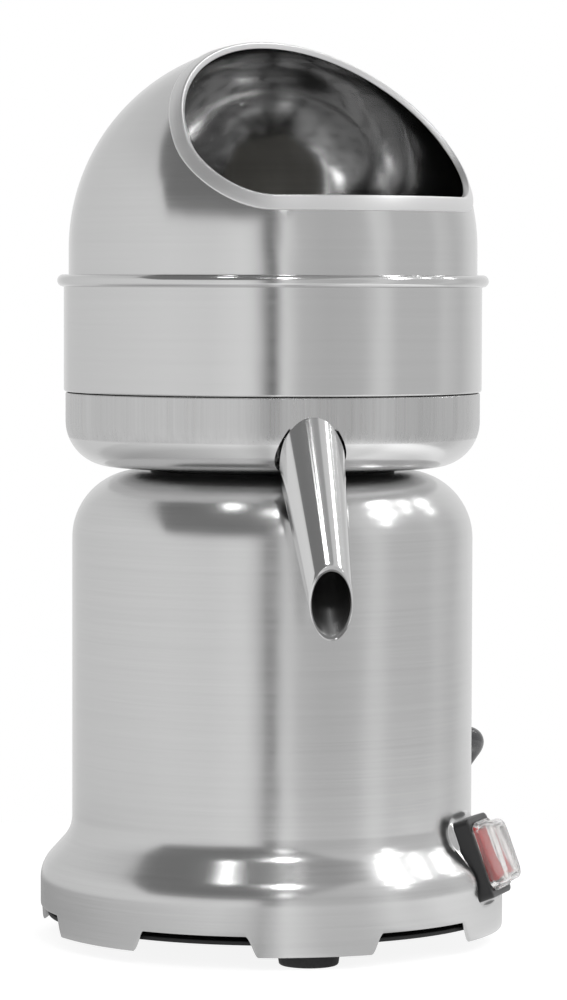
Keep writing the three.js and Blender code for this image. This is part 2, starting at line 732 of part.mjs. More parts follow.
function buildSwitch() {
  const place = switchPlace();
  const panel = new THREE.Group();
  panel.applyMatrix4(place);
  juicer.add(panel);

  const outer = solid(roundedBlock(FRAME.width, FRAME.height, FRAME.corner, GAP, FRAME.depth));
  const window = solid(block(WINDOW.width, WINDOW.height, 20, 0, 0, -5));
  add('switch_frame', outer.subtract(window), blackPlastic(), panel);

  const body = solid(block(FRAME.width - 6, FRAME.height - 6, SWITCH_DEPTH, 0, 0, -SWITCH_DEPTH));
  const wellDepth = 2.5;
  const well = solid(block(WINDOW.width, WINDOW.height, 10, 0, 0, -wellDepth));
  add('switch_body', body.subtract(well), blackPlastic(), panel);

  const h = ROCKER.height / 2;
  const side = [[-h, ROCKER.foot], [0, 1], [h, ROCKER.foot], [h, ROCKER.rise], [0, ROCKER.dip],
    [-h, ROCKER.rise]];
  const outline = new THREE.Shape(side.map(([y, z]) => new THREE.Vector2(y, z)));
  const rocker = new THREE.ExtrudeGeometry(outline, { depth: ROCKER.width, bevelEnabled: false });
  rocker.rotateX(Math.PI / 2).rotateZ(Math.PI / 2).translate(ROCKER.width / 2 - ROCKER.width, 0, 0);
  centreAlongX(rocker);
  rocker.translate(0, 0, -ROCKER.pivot).rotateX(radians(-ROCKER_TILT)).translate(0, 0, ROCKER.pivot);
  add('switch_rocker', rocker, redPlastic(), panel);

  const z = FRAME.depth + 2 * GAP;
  const cap = solid(roundedBlock(FRAME.width - 2, FRAME.height - 2, 4, z, 2));
  const dome = solid(roundedBlock(WINDOW.width + 3, WINDOW.height + 3, 5, z + 1, 8));
  const hollow = solid(roundedBlock(WINDOW.width + 0.6, WINDOW.height + 0.6, 4, z - 1, 8.8));
  add('switch_cover', cap.add(dome).subtract(hollow), clearPlastic(), panel);
}

function centreAlongX(shape) {
  shape.computeBoundingBox();
  const { min, max } = shape.boundingBox;
  shape.translate(-(min.x + max.x) / 2, 0, 0);
}

// ---- Power cord ----

function curve(points) {
  return new THREE.CatmullRomCurve3(points.map((p) => new THREE.Vector3(...p)), false, 'centripetal');
}

// The strain relief: a collar in the wall, and a boot that turns back and down along the base.
function strainRelief() {
  const inside = at(EXIT_BEARING, BODY_R - 5, EXIT_Z);
  const face = at(EXIT_BEARING, BODY_R + 1.2, EXIT_Z);
  const rim = at(EXIT_BEARING, BODY_R + 3.6, EXIT_Z);
  const neck = at(EXIT_BEARING, BODY_R + 8, EXIT_Z);
  const corner = at(EXIT_BEARING, BOOT_CORNER_R, EXIT_Z);
  const side = at(EXIT_BEARING + 90, 1, 0);
  const away = side.multiplyScalar(0.75).add(new THREE.Vector3(0, 0, -0.66)).normalize();
  const bend = new THREE.CatmullRomCurve3([
    at(EXIT_BEARING, BODY_R + 3, EXIT_Z),
    neck,
    at(EXIT_BEARING, BOOT_CORNER_R - 5.5, EXIT_Z),
    corner.clone().addScaledVector(away, 2).addScaledVector(at(EXIT_BEARING, 1, 0), -1),
    corner.clone().addScaledVector(away, 10),
    corner.clone().addScaledVector(away, BOOT_TAIL),
  ], false, 'centripetal');
  const collar = solid(bar(inside, face, 7, 7)).add(solid(bar(face, rim, 10.5, 9.5)));
  return collar.add(solid(taperedTube(bend, 7.6, 4.6, 12, 10)));
}

function coilRing(grow) {
  const [a, b] = [COIL_INNER_R - grow, COIL_OUTER_R + grow];
  const [z0, z1] = [COIL_Z - grow, COIL_Z + COIL_HEIGHT + grow];
  const c = 3;
  return turned([[a + c, z0], [b - c, z0], [b, z0 + c], [b, z1 - c], [b - c, z1], [a + c, z1],
    [a, z1 - c], [a, z0 + c], [a + c, z0]], 32).translate(...COIL_CENTRE, 0);
}

function buildCord() {
  add('cord_strain_relief', strainRelief(), blackRubber());
  const around = solid(coilRing(GAP));
  const start = curve(LEAD);
  const lead = solid(tube(start, CORD_R, 8, 14)).subtract(around);
  add('power_cord', lead, blackRubber());
  add('cord_coil', coilRing(0), blackRubber());
  add('cord_tail', solid(tube(curve(TAIL), CORD_R, 8, 9)).subtract(around), blackRubber());

  const [width, height, wall] = [COIL_OUTER_R - COIL_INNER_R + 1.2, COIL_HEIGHT + 0.8, 0.4];
  const middle = (COIL_OUTER_R + COIL_INNER_R) / 2;
  const strap = solid(block(width + 2 * wall, 8, height + 2 * wall, middle, 0, -wall));
  const through = solid(block(width, 20, height, middle, 0, 0));
  const tie = fromSolid(strap.subtract(through));
  add('coil_tie', tie.translate(...COIL_CENTRE, COIL_Z - 0.4), blackPlastic());
  buildPlug();
}

function buildPlug() {
  const plug = new THREE.Group();
  const [before, last] = TAIL.slice(-2);
  plug.position.set(...last);
  plug.rotation.z = Math.atan2(last[1] - before[1], last[0] - before[0]) - Math.PI / 2;
  juicer.add(plug);
  const bootFrom = new THREE.Vector3(0, 4 * GAP, 0);
  const bootTo = new THREE.Vector3(0, PLUG.boot + 1, 0);
  let body = solid(bar(bootFrom, bootTo, 4.6, 8.5));
  const grip = roundedBlock(PLUG.width, PLUG.height, 5, 0, PLUG.length);
  grip.rotateX(-Math.PI / 2).translate(0, PLUG.boot, 0);
  body = body.add(solid(grip));
  add('plug_body', body, blackRubber(), plug);
  const y = PLUG.boot + PLUG.length + GAP;
  for (const [i, x] of [-6.35, 6.35].entries()) {
    add(`plug_blade_${i + 1}`, block(1.5, PLUG.blade, 6.3, x, y + PLUG.blade / 2, -6.5), alloy(), plug);
  }
  const from = new THREE.Vector3(0, y, 5.5);
  const to = new THREE.Vector3(0, y + PLUG.blade + 2, 5.5);
  add('plug_earth_pin', bar(from, to, 2.4, 2.4, 12), alloy(), plug);
}

const root = new THREE.Group();
root.add(juicer);

export default root;
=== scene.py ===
import math

import bmesh
import bpy
from mathutils import Matrix, Vector


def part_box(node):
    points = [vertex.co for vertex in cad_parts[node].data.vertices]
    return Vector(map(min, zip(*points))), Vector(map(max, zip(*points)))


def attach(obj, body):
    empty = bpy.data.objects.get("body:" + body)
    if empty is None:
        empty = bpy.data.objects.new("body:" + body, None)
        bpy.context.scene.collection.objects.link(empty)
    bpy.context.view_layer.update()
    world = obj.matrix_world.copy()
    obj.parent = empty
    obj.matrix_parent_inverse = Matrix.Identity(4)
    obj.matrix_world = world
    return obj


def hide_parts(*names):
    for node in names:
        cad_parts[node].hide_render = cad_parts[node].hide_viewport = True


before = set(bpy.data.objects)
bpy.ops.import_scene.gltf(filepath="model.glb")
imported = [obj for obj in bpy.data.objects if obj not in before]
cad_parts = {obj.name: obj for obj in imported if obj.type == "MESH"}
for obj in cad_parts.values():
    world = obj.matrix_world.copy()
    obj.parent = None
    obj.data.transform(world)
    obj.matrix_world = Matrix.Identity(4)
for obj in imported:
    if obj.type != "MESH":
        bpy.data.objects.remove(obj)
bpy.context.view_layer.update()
scene = bpy.context.scene

MM = 0.001
low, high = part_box("bottom_cover")
AXIS = Vector(((low.x + high.x) / 2, (low.y + high.y) / 2, 0.0))
VIEW_BEARING = -10.8  # where the camera stands, counted from the spout towards +X

# Sizes as in part.mjs, in millimetres from the juicer's axis and the worktop.
SHEET = 1.5  # the base's steel
THIN_SHEET = 1.2  # the steel of the bowl, the strainer, the ring and the hood
SKIRT_R = 110
SKIRT_Z = 20  # where the tabs and arches end and the plain skirt begins
BODY_R = 95
SHOULDER_R = 32
TOP_Z = 222
TABS = 6
TAB_Z = 6
ARCH_Z = 15.5
SHAFT_HOLE_R = 15
FOOT_AT = 91
PANEL_BEARING = 60.0
PANEL_LEAN = 20
PANEL_AT = (101.8, 41)
EXIT_BEARING = 108.5
EXIT_Z = 88.0
BOWL_R = 98.2
BOWL_CORNER = Vector((76.7, 245.5))  # the centre of the bowl's round lower edge
BOWL_CORNER_R = 21.5
SPOUT_ROOT = Vector((0, -86, 238.8))
SPOUT_END = Vector((0, -140.8, 166))
SPOUT_R, SPOUT_END_R = 16.4, 9.8
SPOUT_DOWN = (SPOUT_END - SPOUT_ROOT).normalized()
SPOUT_UP = Vector((0, SPOUT_DOWN.z, -SPOUT_DOWN.y))
SPOUT_TAPER = (SPOUT_R - SPOUT_END_R) / (SPOUT_END - SPOUT_ROOT).length
DOME = Vector((0, 0, 326.8))  # the hood's centre
HOOD_R = 96.7
HOOD_TURN = Matrix.Rotation(math.radians(24), 4, "Z")
OPENING_TILT = math.radians(42.5)
OPENING_N = Vector((0, -math.cos(OPENING_TILT), math.sin(OPENING_TILT)))
OPENING_AT = 61.1  # the opening's plane, from the hood's centre


def at(bearing, r, z):
    """A point in millimetres from the juicer's axis; bearing 0 is the spout."""
    a = math.radians(bearing)
    return Vector((r * math.sin(a), -r * math.cos(a), z))


def smoothstep(x):
    x = max(0.0, min(1.0, x))
    return x * x * (3 - 2 * x)


def add_object(name, data, where=AXIS):
    obj = bpy.data.objects.new(name, data)
    scene.collection.objects.link(obj)
    obj.location = where
    return obj


# ---- camera


CAMERA_AWAY, CAMERA_UP = 2.04, 0.3135  # metres from the axis and above the worktop
CAMERA_PAN, CAMERA_PITCH, CAMERA_ROLL = -0.147, -2.97, 0.15  # degrees off the axis and off level


def make_camera():
    """A long lens level with the hood, looking a little down."""
    data = bpy.data.cameras.new("camera")
    data.sensor_width = 36
    data.lens = 154.8
    data.clip_end = 50
    data.dof.use_dof = False
    a = math.radians(VIEW_BEARING)
    away = Vector((CAMERA_AWAY * math.sin(a), -CAMERA_AWAY * math.cos(a), CAMERA_UP))
    camera = add_object("camera", data, AXIS + away)
    aim = Matrix.Rotation(math.radians(VIEW_BEARING + CAMERA_PAN), 4, "Z")
    tilt = Matrix.Rotation(math.radians(90 + CAMERA_PITCH), 4, "X")
    roll = Matrix.Rotation(math.radians(CAMERA_ROLL), 4, "Z")
    camera.matrix_world = Matrix.Translation(camera.location) @ aim @ tilt @ roll
    scene.camera = camera


make_camera()

# ---- materials


def add_node(tree, kind, inputs=(), **settings):
    """A node, with each input linked to a socket or set to a value."""
    n = tree.nodes.new(kind)
    for key, value in settings.items():
        setattr(n, key, value)
    for key, value in dict(inputs).items():
        if isinstance(value, bpy.types.NodeSocket):
            tree.links.new(value, n.inputs[key])
        else:
            n.inputs[key].default_value = value
    return n


def grey(value):
    return (value, value, value, 1.0)


def tinted(colour, factor):
    """A colour made darker or lighter."""
    return tuple(min(1.0, c * factor) for c in colour[:3]) + (1.0,)


class Shader:
    """A material and short ways to add nodes to it."""

    def __init__(self, name, **values):
        self.material = bpy.data.materials.new(name)
        self.material.use_nodes = True
        self.tree = self.material.node_tree
        self.out = self.tree.nodes["Material Output"]
        self.bsdf = self.tree.nodes["Principled BSDF"]
        for key, value in values.items():
            key = key.replace("_", " ").title().replace("Ior", "IOR")
            self.bsdf.inputs[key].default_value = value

    def node(self, kind, inputs=(), **settings):
        return add_node(self.tree, kind, inputs, **settings)

    def link(self, source, key):
        self.tree.links.new(source, self.bsdf.inputs[key])

    def place(self, scale=(1, 1, 1), shift=(0, 0, 0)):
        """Object coordinates, stretched."""
        coordinates = self.node("ShaderNodeTexCoord").outputs["Object"]
        return self.node(
            "ShaderNodeMapping", {"Vector": coordinates, "Scale": scale, "Location": shift}
        ).outputs["Vector"]

    def noise(self, vector, detail=2.0, rough=0.5, scale=1.0):
        return self.node(
            "ShaderNodeTexNoise",
            {"Vector": vector, "Scale": scale, "Detail": detail, "Roughness": rough},
        ).outputs["Fac"]

    def math(self, operation, a, b=0.5, c=0.0):
        return self.node("ShaderNodeMath", {0: a, 1: b, 2: c}, operation=operation).outputs[0]

    def length(self, vector):
        return self.node("ShaderNodeVectorMath", {0: vector}, operation="LENGTH").outputs["Value"]

    def parts(self):
        """The object coordinates' X, Y and Z."""
        return self.node("ShaderNodeSeparateXYZ", {"Vector": self.place()}).outputs

    def join(self, x, y, z=0.0):
        return self.node("ShaderNodeCombineXYZ", {"X": x, "Y": y, "Z": z}).outputs[0]

    def span(self, value, a, b, low_out, high_out):
        """A value from a to b taken to low_out to high_out, kept inside them."""
        return self.node(
            "ShaderNodeMapRange",
            {"Value": value, "From Min": a, "From Max": b, "To Min": low_out, "To Max": high_out},
        ).outputs["Result"]

    def blend(self, share, a, b):
        """Two colours mixed by share."""
        return self.node("ShaderNodeMix", {0: share, 6: a, 7: b}, data_type="RGBA").outputs[2]

    def between(self, share, a, b):
        """Two numbers mixed by share."""
        return self.node("ShaderNodeMix", {0: share, 2: a, 3: b}).outputs[0]

    def bump(self, height, strength, distance, normal=None):
        inputs = {"Height": height, "Strength": strength, "Distance": distance}
        if normal is not None:
            inputs["Normal"] = normal
        return self.node("ShaderNodeBump", inputs).outputs["Normal"]


def finish(s, colour, smooth, rough, lines, streaks, upright=False):
    """
    Colour, roughness and height of a brushed finish whose lines run round the axis, or up it.
    Smooth and rough are the least and the most roughness, lines is how dark the lines are, and
    streaks is how often the pattern changes along and across them, per metre.
    """
    along, across = streaks
    if upright:
        fine = s.noise(s.place((across, across, along)), 3.0, 0.6)
        broad = s.noise(s.place((across * 0.2, across * 0.2, along * 0.5)), 2.0)
    else:
        x, y, z = s.parts()
        # rings on upright walls and on flat ones alike
        run = s.math("MULTIPLY_ADD", s.length(s.join(x, y)), -0.8, z)
        line = s.join(
            s.math("MULTIPLY", x, along), s.math("MULTIPLY", y, along), s.math("MULTIPLY", run, across)
        )
        fine = s.noise(line, 3.0, 0.6)
        broad = s.noise(line, 2.0, 0.5, 0.2)
    smudge = s.noise(s.place((28, 28, 22)), 3.0, 0.55)
    grain = s.math("MULTIPLY_ADD", broad, 0.45, s.math("MULTIPLY", fine, 0.55))
    rub = s.math("MULTIPLY_ADD", smudge, 0.35, s.math("MULTIPLY", grain, 0.65))
    tint = s.blend(s.span(grain, 0.35, 0.65, 0.0, 1.0), tinted(colour, 1 - lines), colour)
    return tint, s.span(rub, 0.32, 0.68, smooth, rough), grain


def steel(name, first, strength, second=None, where=None, pull=0.0, dents=0.0):
    """
    Steel with one finish, or with a second one where a function of the material says. Strength is
    how deep the brushing is, pull stretches reflections upwards, and dents is how uneven the sheet
    is, in millimetres.
    """
    s = Shader(name, metallic=1.0)
    tint, roughness, grain = finish(s, *first)
    if second:
        share = where(s)
        tint_2, roughness_2, grain_2 = finish(s, *second)
        tint = s.blend(share, tint, tint_2)
        roughness = s.between(share, roughness, roughness_2)
        grain = s.between(share, grain, grain_2)
    s.link(tint, "Base Color")
    s.link(roughness, "Roughness")
    uneven = None
    if dents:
        swell = s.noise(s.place((24, 24, 15)), 2.0, 0.45)
        if second:
            swell = s.math("MULTIPLY", swell, s.math("SUBTRACT", 1.0, share))
        uneven = s.bump(swell, 1.0, dents * MM)
    s.link(s.bump(grain, strength, 0.06 * MM, uneven), "Normal")
    if pull:
        s.bsdf.inputs["Anisotropic"].default_value = pull
        s.bsdf.inputs["Anisotropic Rotation"].default_value = 0.25
        s.link(s.node("ShaderNodeTangent", direction_type="RADIAL", axis="Z").outputs[0], "Tangent")
    return s.material


def under_polish_line(s):
    """The bowl's polished lower part, up to a line round it."""
    depth = s.math("MULTIPLY", s.parts()["Z"], -1.0)
    wave = s.math("MULTIPLY_ADD", s.noise(s.place((9, 9, 0))), 1.6 * MM, depth)
    return s.span(wave, -237.2 * MM, -236.5 * MM, 0.0, 1.0)


def inside_hood(s):
    """The hood's inside: nearer than the middle of its wall to its axis, or to the dome's centre."""
    x, y, z = s.parts()
    above = s.math("MAXIMUM", s.math("SUBTRACT", z, DOME.z * MM), 0.0)
    return s.math("LESS_THAN", s.length(s.join(x, y, above)), (HOOD_R - THIN_SHEET / 2) * MM)


def painted_shade_in_spout(s):
    """The spout's bore, given a dark grey there as painted shade: nearer than the middle of its wall to
    its sloping axis.
    """
    spot = s.place(shift=tuple(-SPOUT_ROOT * MM))
    down = s.node("ShaderNodeVectorMath", {0: spot, 1: tuple(SPOUT_DOWN)}, operation="DOT_PRODUCT")
    down = down.outputs["Value"]
    far = s.math("SUBTRACT", s.math("POWER", s.length(spot), 2.0), s.math("POWER", down, 2.0))
    wall = s.math("MULTIPLY_ADD", down, -SPOUT_TAPER, (SPOUT_R - THIN_SHEET / 2) * MM)
    return s.math("LESS_THAN", s.math("SQRT", far), wall)


ROUND = (12.0, 1500.0)  # long fine lines round the axis
POLISHED = (8.0, 500.0)
STEEL = steel("brushed_steel", (grey(0.70), 0.19, 0.26, 0.05, ROUND), 0.09, pull=0.45, dents=0.5)
STEEL_BOWL = steel(
    "bowl_steel",
    (grey(0.66), 0.24, 0.34, 0.12, (6.0, 900.0), True),
    0.30,
    (grey(0.74), 0.14, 0.20, 0.02, ROUND),
    under_polish_line,
)
SATIN = steel("satin_steel", (grey(0.70), 0.12, 0.19, 0.03, ROUND), 0.06, pull=0.4, dents=0.35)
HOOD_STEEL = steel(
    "hood_steel",
    (grey(0.70), 0.12, 0.19, 0.03, ROUND),
    0.06,
    (grey(0.68), 0.10, 0.13, 0.12, (5.0, 320.0)),
    inside_hood,
    pull=0.4,
    dents=0.9,
)
TRIM = steel("trim_steel", (grey(0.88), 0.34, 0.44, 0.01, POLISHED), 0.05)
BRIGHT = steel(
    "polished_steel",
    (grey(0.78), 0.09, 0.14, 0.02, POLISHED),
    0.05,
    # the bore's dark grey is painted shade inside the tube; its rougher finish is its own
    (grey(0.30), 0.34, 0.42, 0.05, POLISHED),
    painted_shade_in_spout,
)


def plain(name, colour, rough, grain, grain_scale, metallic=0.0, coat=0.0, variation=0.06):
    """A moulded or cast finish: fine grain in its height and roughness, soft changes in its colour."""
    s = Shader(name, metallic=metallic, ior=1.5, coat_weight=coat)
    small = s.noise(s.place((grain_scale,) * 3), 3.0, 0.6)
    large = s.noise(s.place((35, 35, 35)), 3.0)
    s.link(s.span(s.math("ADD", small, large), 0.7, 1.3, rough * 0.85, rough * 1.15), "Roughness")
    dark, light = tinted(colour, 1 - variation), tinted(colour, 1 + variation)
    s.link(s.blend(s.span(large, 0.3, 0.7, 0.0, 1.0), dark, light), "Base Color")
    s.link(s.bump(small, grain, 0.0002), "Normal")
    return s.material


RUBBER = plain("black_rubber", (0.018, 0.018, 0.019, 1), 0.6, 0.25, 900)
FOOT = plain("foot_rubber", (0.012, 0.012, 0.013, 1), 0.72, 0.3, 700)
COVER = plain("cover_plastic", (0.012, 0.012, 0.013, 1), 0.6, 0.3, 500)
BOOT = plain("boot_rubber", (0.06, 0.06, 0.064, 1), 0.27, 0.08, 600, coat=0.3)
CORD = plain("cord_jacket", (0.02, 0.02, 0.021, 1), 0.42, 0.15, 800)
FRAME_PLASTIC = plain("switch_plastic", (0.022, 0.022, 0.023, 1), 0.34, 0.06, 900)
RED = plain("red_rocker", (0.60, 0.010, 0.008, 1), 0.22, 0.03, 600, variation=0.04)
WHITE = plain("white_plastic", (0.78, 0.76, 0.70, 1), 0.32, 0.05, 500, variation=0.02)
SCREW = plain("screw_steel", grey(0.55), 0.3, 0.08, 500, metallic=1.0)
ALLOY = plain("cast_alloy", grey(0.5), 0.45, 0.35, 300, metallic=1.0)
COPPER = plain("copper_winding", (0.72, 0.30, 0.13, 1), 0.35, 0.3, 260, metallic=1.0)
PINS = plain("plug_pins", (0.80, 0.66, 0.38, 1), 0.22, 0.03, 400, metallic=1.0)
BLACK = plain("black_plastic", (0.02, 0.02, 0.021, 1), 0.45, 0.15, 500)
CAN = plain("capacitor_can", (0.72, 0.72, 0.70, 1), 0.4, 0.08, 300)
TIE = plain("tie", (0.016, 0.016, 0.016, 1), 0.5, 0.1, 700)


def make_laminations():
    s = Shader("laminations", metallic=1.0)
    wave = s.math("SINE", s.math("MULTIPLY", s.parts()["Z"], 2 * math.pi / MM))
    s.link(s.blend(s.span(wave, -1, 1, 0, 1), grey(0.16), grey(0.34)), "Base Color")
    s.link(s.span(wave, -1, 1, 0.6, 0.4), "Roughness")
    s.link(s.bump(wave, 0.4, 0.0002), "Normal")
    return s.material


LAMINATIONS = make_laminations()


def make_clear():
    """The switch cover's soft clear PVC, a little milky."""
    s = Shader("clear_cover", ior=1.45, transmission_weight=0.93)
    cloud = s.noise(s.place((120, 120, 120)), 3.0)
    share = s.span(cloud, 0.3, 0.7, 0, 1)
    s.link(s.blend(share, (0.93, 0.93, 0.92, 1), grey(0.98)), "Base Color")
    s.link(s.span(s.noise(s.place((300, 300, 300))), 0.3, 0.7, 0.08, 0.2), "Roughness")
    s.link(s.bump(cloud, 0.25, 0.0008), "Normal")
    return s.material


CLEAR = make_clear()

# ---- mesh helpers


def build(name, points, faces, material=None, body=None, stands_for=(), slot=None, sharp=35):
    """One piece from points in millimetres from the axis; its object stands on the axis."""
    mesh = bpy.data.meshes.new(name)
    mesh.from_pydata([tuple(Vector(p) * MM) for p in points], [], faces)
    obj = add_object(name, mesh)
    dress(obj, material, sharp)
    if body:
        ride(obj, body, stands_for)
    return obj


def dress(obj, material, sharp=35, weld=True):
    shape = bmesh.new()
    shape.from_mesh(obj.data)
    if weld:
        bmesh.ops.remove_doubles(shape, verts=shape.verts, dist=1e-6)
        bmesh.ops.recalc_face_normals(shape, faces=shape.faces)
    shape.to_mesh(obj.data)
    shape.free()
    obj.data.shade_smooth()
    obj.data.set_sharp_from_angle(angle=math.radians(sharp))
    obj.data.materials.clear()
    if material:
        obj.data.materials.append(material)


def ride(obj, body, stands_for=()):
    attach(obj, body)
    if stands_for:
        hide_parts(*([stands_for] if isinstance(stands_for, str) else stands_for))


def keep(node, material):
    """A CAD node that stays, with the model's own material."""
    node.data.materials.clear()
    node.data.materials.append(material)


def loops(rings, closed_rows=True):
    """Points and faces of closed rings that all have as many points."""
    count = len(rings[0])
    points = [p for ring in rings for p in ring]
    faces = []
    rows = len(rings)
    for i in range(rows if closed_rows else rows - 1):
        k = (i + 1) % rows
        for j in range(count):
            m = (j + 1) % count
            faces.append((i * count + j, i * count + m, k * count + m, k * count + j))
    return points, faces


def capped(rings):
    """A closed body: rings joined in order, with a flat face on both ends."""
    points, faces = loops(rings, closed_rows=False)
    count = len(rings[0])
    faces.append(tuple(reversed(range(count))))
    faces.append(tuple(range(len(points) - count, len(points))))
    return points, faces


def fillet(corners, steps=5):
    """(r, z, radius) corners of a closed outline, each rounded by its radius."""
    out = []
    n = len(corners)
    for i, (r, z, radius) in enumerate(corners):
        p = Vector((r, z))
        if radius <= 0:
            out.append((r, z))
            continue
        before, after = Vector(corners[i - 1][:2]), Vector(corners[(i + 1) % n][:2])
        a, b = (before - p).normalized(), (after - p).normalized()
        half = a.angle(b) / 2
        reach = min(radius / math.tan(half), (before - p).length * 0.49, (after - p).length * 0.49)
        real = reach * math.tan(half)
        centre = p + (a + b).normalized() * (real / math.sin(half))
        start, end = p + a * reach - centre, p + b * reach - centre
        turn = start.angle_signed(end)
        for k in range(steps + 1):
            t = -turn * k / steps
            c, s = math.cos(t), math.sin(t)
            out.append(tuple(centre + Vector((start.x * c - start.y * s, start.x * s + start.y * c))))
    return out


def turns(count):
    """The angles of count even steps in a whole turn."""
    return [2 * math.pi * i / count for i in range(count)]


def arc(cx, cy, radius, start, end, steps):
    angles = [math.radians(start + (end - start) * i / steps) for i in range(steps + 1)]
    return [(cx + radius * math.cos(t), cy + radius * math.sin(t)) for t in angles]


def lathe(
    name, outline, material=None, body=None, stands_for=(), slot=None, sides=192, x=0.0, y=0.0, sharp=35
):
    """A closed outline of (r, z) turned round a vertical line."""
    rings = [
        [(x + r * math.cos(a), y + r * math.sin(a), z) for r, z in outline] for a in turns(sides)
    ]
    return build(name, *loops(rings), material, body, stands_for, slot, sharp)


def cut(obj, tool):
    """obj less tool, and tool is removed."""
    m = obj.modifiers.new("cut", "BOOLEAN")
    m.operation = "DIFFERENCE"
    m.solver = "EXACT"
    m.object = tool
    bpy.context.view_layer.update()
    done = bpy.data.meshes.new_from_object(obj.evaluated_get(bpy.context.evaluated_depsgraph_get()))
    obj.modifiers.remove(m)
    old = obj.data
    obj.data = done
    done.name = obj.name
    bpy.data.meshes.remove(old)
    bpy.data.objects.remove(tool)


def bevel(obj, width, segments=3, angle=35):
    m = obj.modifiers.new("bevel", "BEVEL")
    m.width = width * MM
    m.segments = segments
    m.limit_method = "ANGLE"
    m.angle_limit = math.radians(angle)
    m.harden_normals = True


def set_normals(obj, normal_at, reach=25.0):
    """Gives the faces near an exact surface its normals, so that cut edges don't dent it."""
    mesh = obj.data
    mesh.shade_smooth()
    normals = []
    for face in mesh.polygons:
        exact = normal_at(face.center / MM)
        near = abs(face.normal.dot(exact)) > math.cos(math.radians(reach)) if exact else False
        side = 1.0 if exact and face.normal.dot(exact) > 0 else -1.0
        for index in face.vertices:
            own = normal_at(mesh.vertices[index].co / MM) if near else None
            normals.append(tuple(own * side) if own else tuple(face.normal))
    mesh.normals_split_custom_set(normals)


def rounded_rectangle(width, height, corner, steps=8):
    """Points round a rectangle with round corners, anticlockwise."""
    corner = max(0.05, min(corner, width / 2 - 0.01, height / 2 - 0.01))
    w, h = width / 2 - corner, height / 2 - corner
    out = []
    for cx, cy, start in ((w, h, 0), (-w, h, 90), (-w, -h, 180), (w, -h, 270)):
        out += arc(cx, cy, corner, start, start + 90, steps)
    return out


def ringed(rows, place, steps=8):
    """Rings of rounded rectangles from (width, height, corner, z) rows, carried by place."""
    return [
        [place @ Vector((x, y, z)) for x, y in rounded_rectangle(w, h, c, steps)] for w, h, c, z in rows
    ]


def axes(x, y, z, origin):
    """A place with its own x, y and z."""
    place = Matrix((x, y, z)).transposed().to_4x4()
    place.translation = origin
    return place


# ---- lead, coil, tie and plug

CORD_D = 7.0
COIL_AT = Vector((35.5, 174.4))
COIL_OUTER, COIL_INNER = 46.0, 28.5  # its centre line's largest and smallest radius
# The lead's route in metres from the axis, as in part.mjs: down to the coil, and on to the plug.
LEAD = [
    (0.1037, 0.0562, 0.0700), (0.1013, 0.0633, 0.0634), (0.0966, 0.0752, 0.0512),
    (0.0898, 0.0866, 0.0386), (0.0814, 0.0972, 0.0266), (0.0718, 0.1068, 0.0160),
    (0.0620, 0.1148, 0.0086), (0.0525, 0.1212, 0.0052), (0.0440, 0.1262, 0.0045),
]
TAIL = [
    (0.0020, 0.1406, 0.0094), (-0.0085, 0.1468, 0.0066), (-0.0190, 0.1534, 0.0046),
    (-0.0280, 0.1614, 0.0041), (-0.0348, 0.1710, 0.0052), (-0.0386, 0.1810, 0.0080),
    (-0.0399, 0.1885, 0.0104), (-0.0400, 0.1930, 0.0112),
]


def coil_points():
    """Two layers, wound in and then out, a diameter apart."""
    down, up = 4.0, 11.0
    inward, climb, outward = 900.0, 180.0, 750.0  # degrees turned in each stretch
    step = 22.5
    points = []
    turned = 0.0
    while turned < inward + climb + outward - 1:
        back = max(0.0, turned - inward - climb)
        share = min(turned / inward, 1.0) - back / outward
        r = COIL_OUTER + (COIL_INNER - COIL_OUTER) * share
        z = down + (up - down) * smoothstep((turned - inward) / climb)
        a = math.radians(-90 - turned)
        points.append(Vector((COIL_AT.x + r * math.cos(a), COIL_AT.y + r * math.sin(a), z)) * MM)
        turned += step
    return points


def make_cord():
    route = [Vector(p) for p in LEAD] + coil_points() + [Vector(p) for p in TAIL]
    data = bpy.data.curves.new("power_lead", "CURVE")
    data.dimensions = "3D"
    data.bevel_depth = CORD_D / 2 * MM
    data.bevel_resolution = 6
    data.resolution_u = 6
    data.use_fill_caps = True
    line = data.splines.new("BEZIER")
    line.bezier_points.add(len(route) - 1)
    for knot, p in zip(line.bezier_points, route):
        knot.co = p
        knot.handle_left_type = knot.handle_right_type = "AUTO"
    obj = add_object("power_lead", data)
    data.materials.append(CORD)
    ride(obj, "base", ("power_cord", "cord_coil", "cord_tail"))
    return obj


lead = make_cord()


def make_tie():
    """A flat strap round the coil's turns on their far side from the juicer."""
    middle_x, middle_z = COIL_AT.x + (COIL_OUTER + COIL_INNER) / 2, 7.75
    rim = 4.0

    def rings(width, height, corner, rounding, rows):
        out = []
        for y in rows:
            edge = rounding if abs(y) == rim else 0.0
            flat = rounded_rectangle(width - 2 * edge, height - 2 * edge, corner, 6)
            out.append([(middle_x + x, COIL_AT.y + y, middle_z + z) for x, z in flat])
        return out

    outside = rings(25.8, 15.1, 4.5, 0.4, (-rim, -3.4, 3.4, rim))
    inside = rings(23.6, 12.9, 3.6, -0.3, (rim, 3.4, -3.4, -rim))
    return build("lead_tie", *loops(outside + inside), TIE, "base", "coil_tie", "black_plastic")


tie = make_tie()


def tapered_tube(path, radii, sides):
    """A closed tube along a path, with a radius at each of its points."""
    rings = []
    across = None
    for i, p in enumerate(path):
        before, after = path[max(i - 1, 0)], path[min(i + 1, len(path) - 1)]
        ahead = (after - before).normalized()
        if across is None:
            across = ahead.orthogonal().normalized()
        across = (across - ahead * across.dot(ahead)).normalized()
        side = ahead.cross(across)
        rings.append(
            [p + (across * math.cos(a) + side * math.sin(a)) * radii[i] for a in turns(sides)]
        )
    return capped(rings)


def bezier(a, b, c, steps):
    shares = [i / steps for i in range(steps + 1)]
    return [a * (1 - t) ** 2 + b * 2 * t * (1 - t) + c * t * t for t in shares]


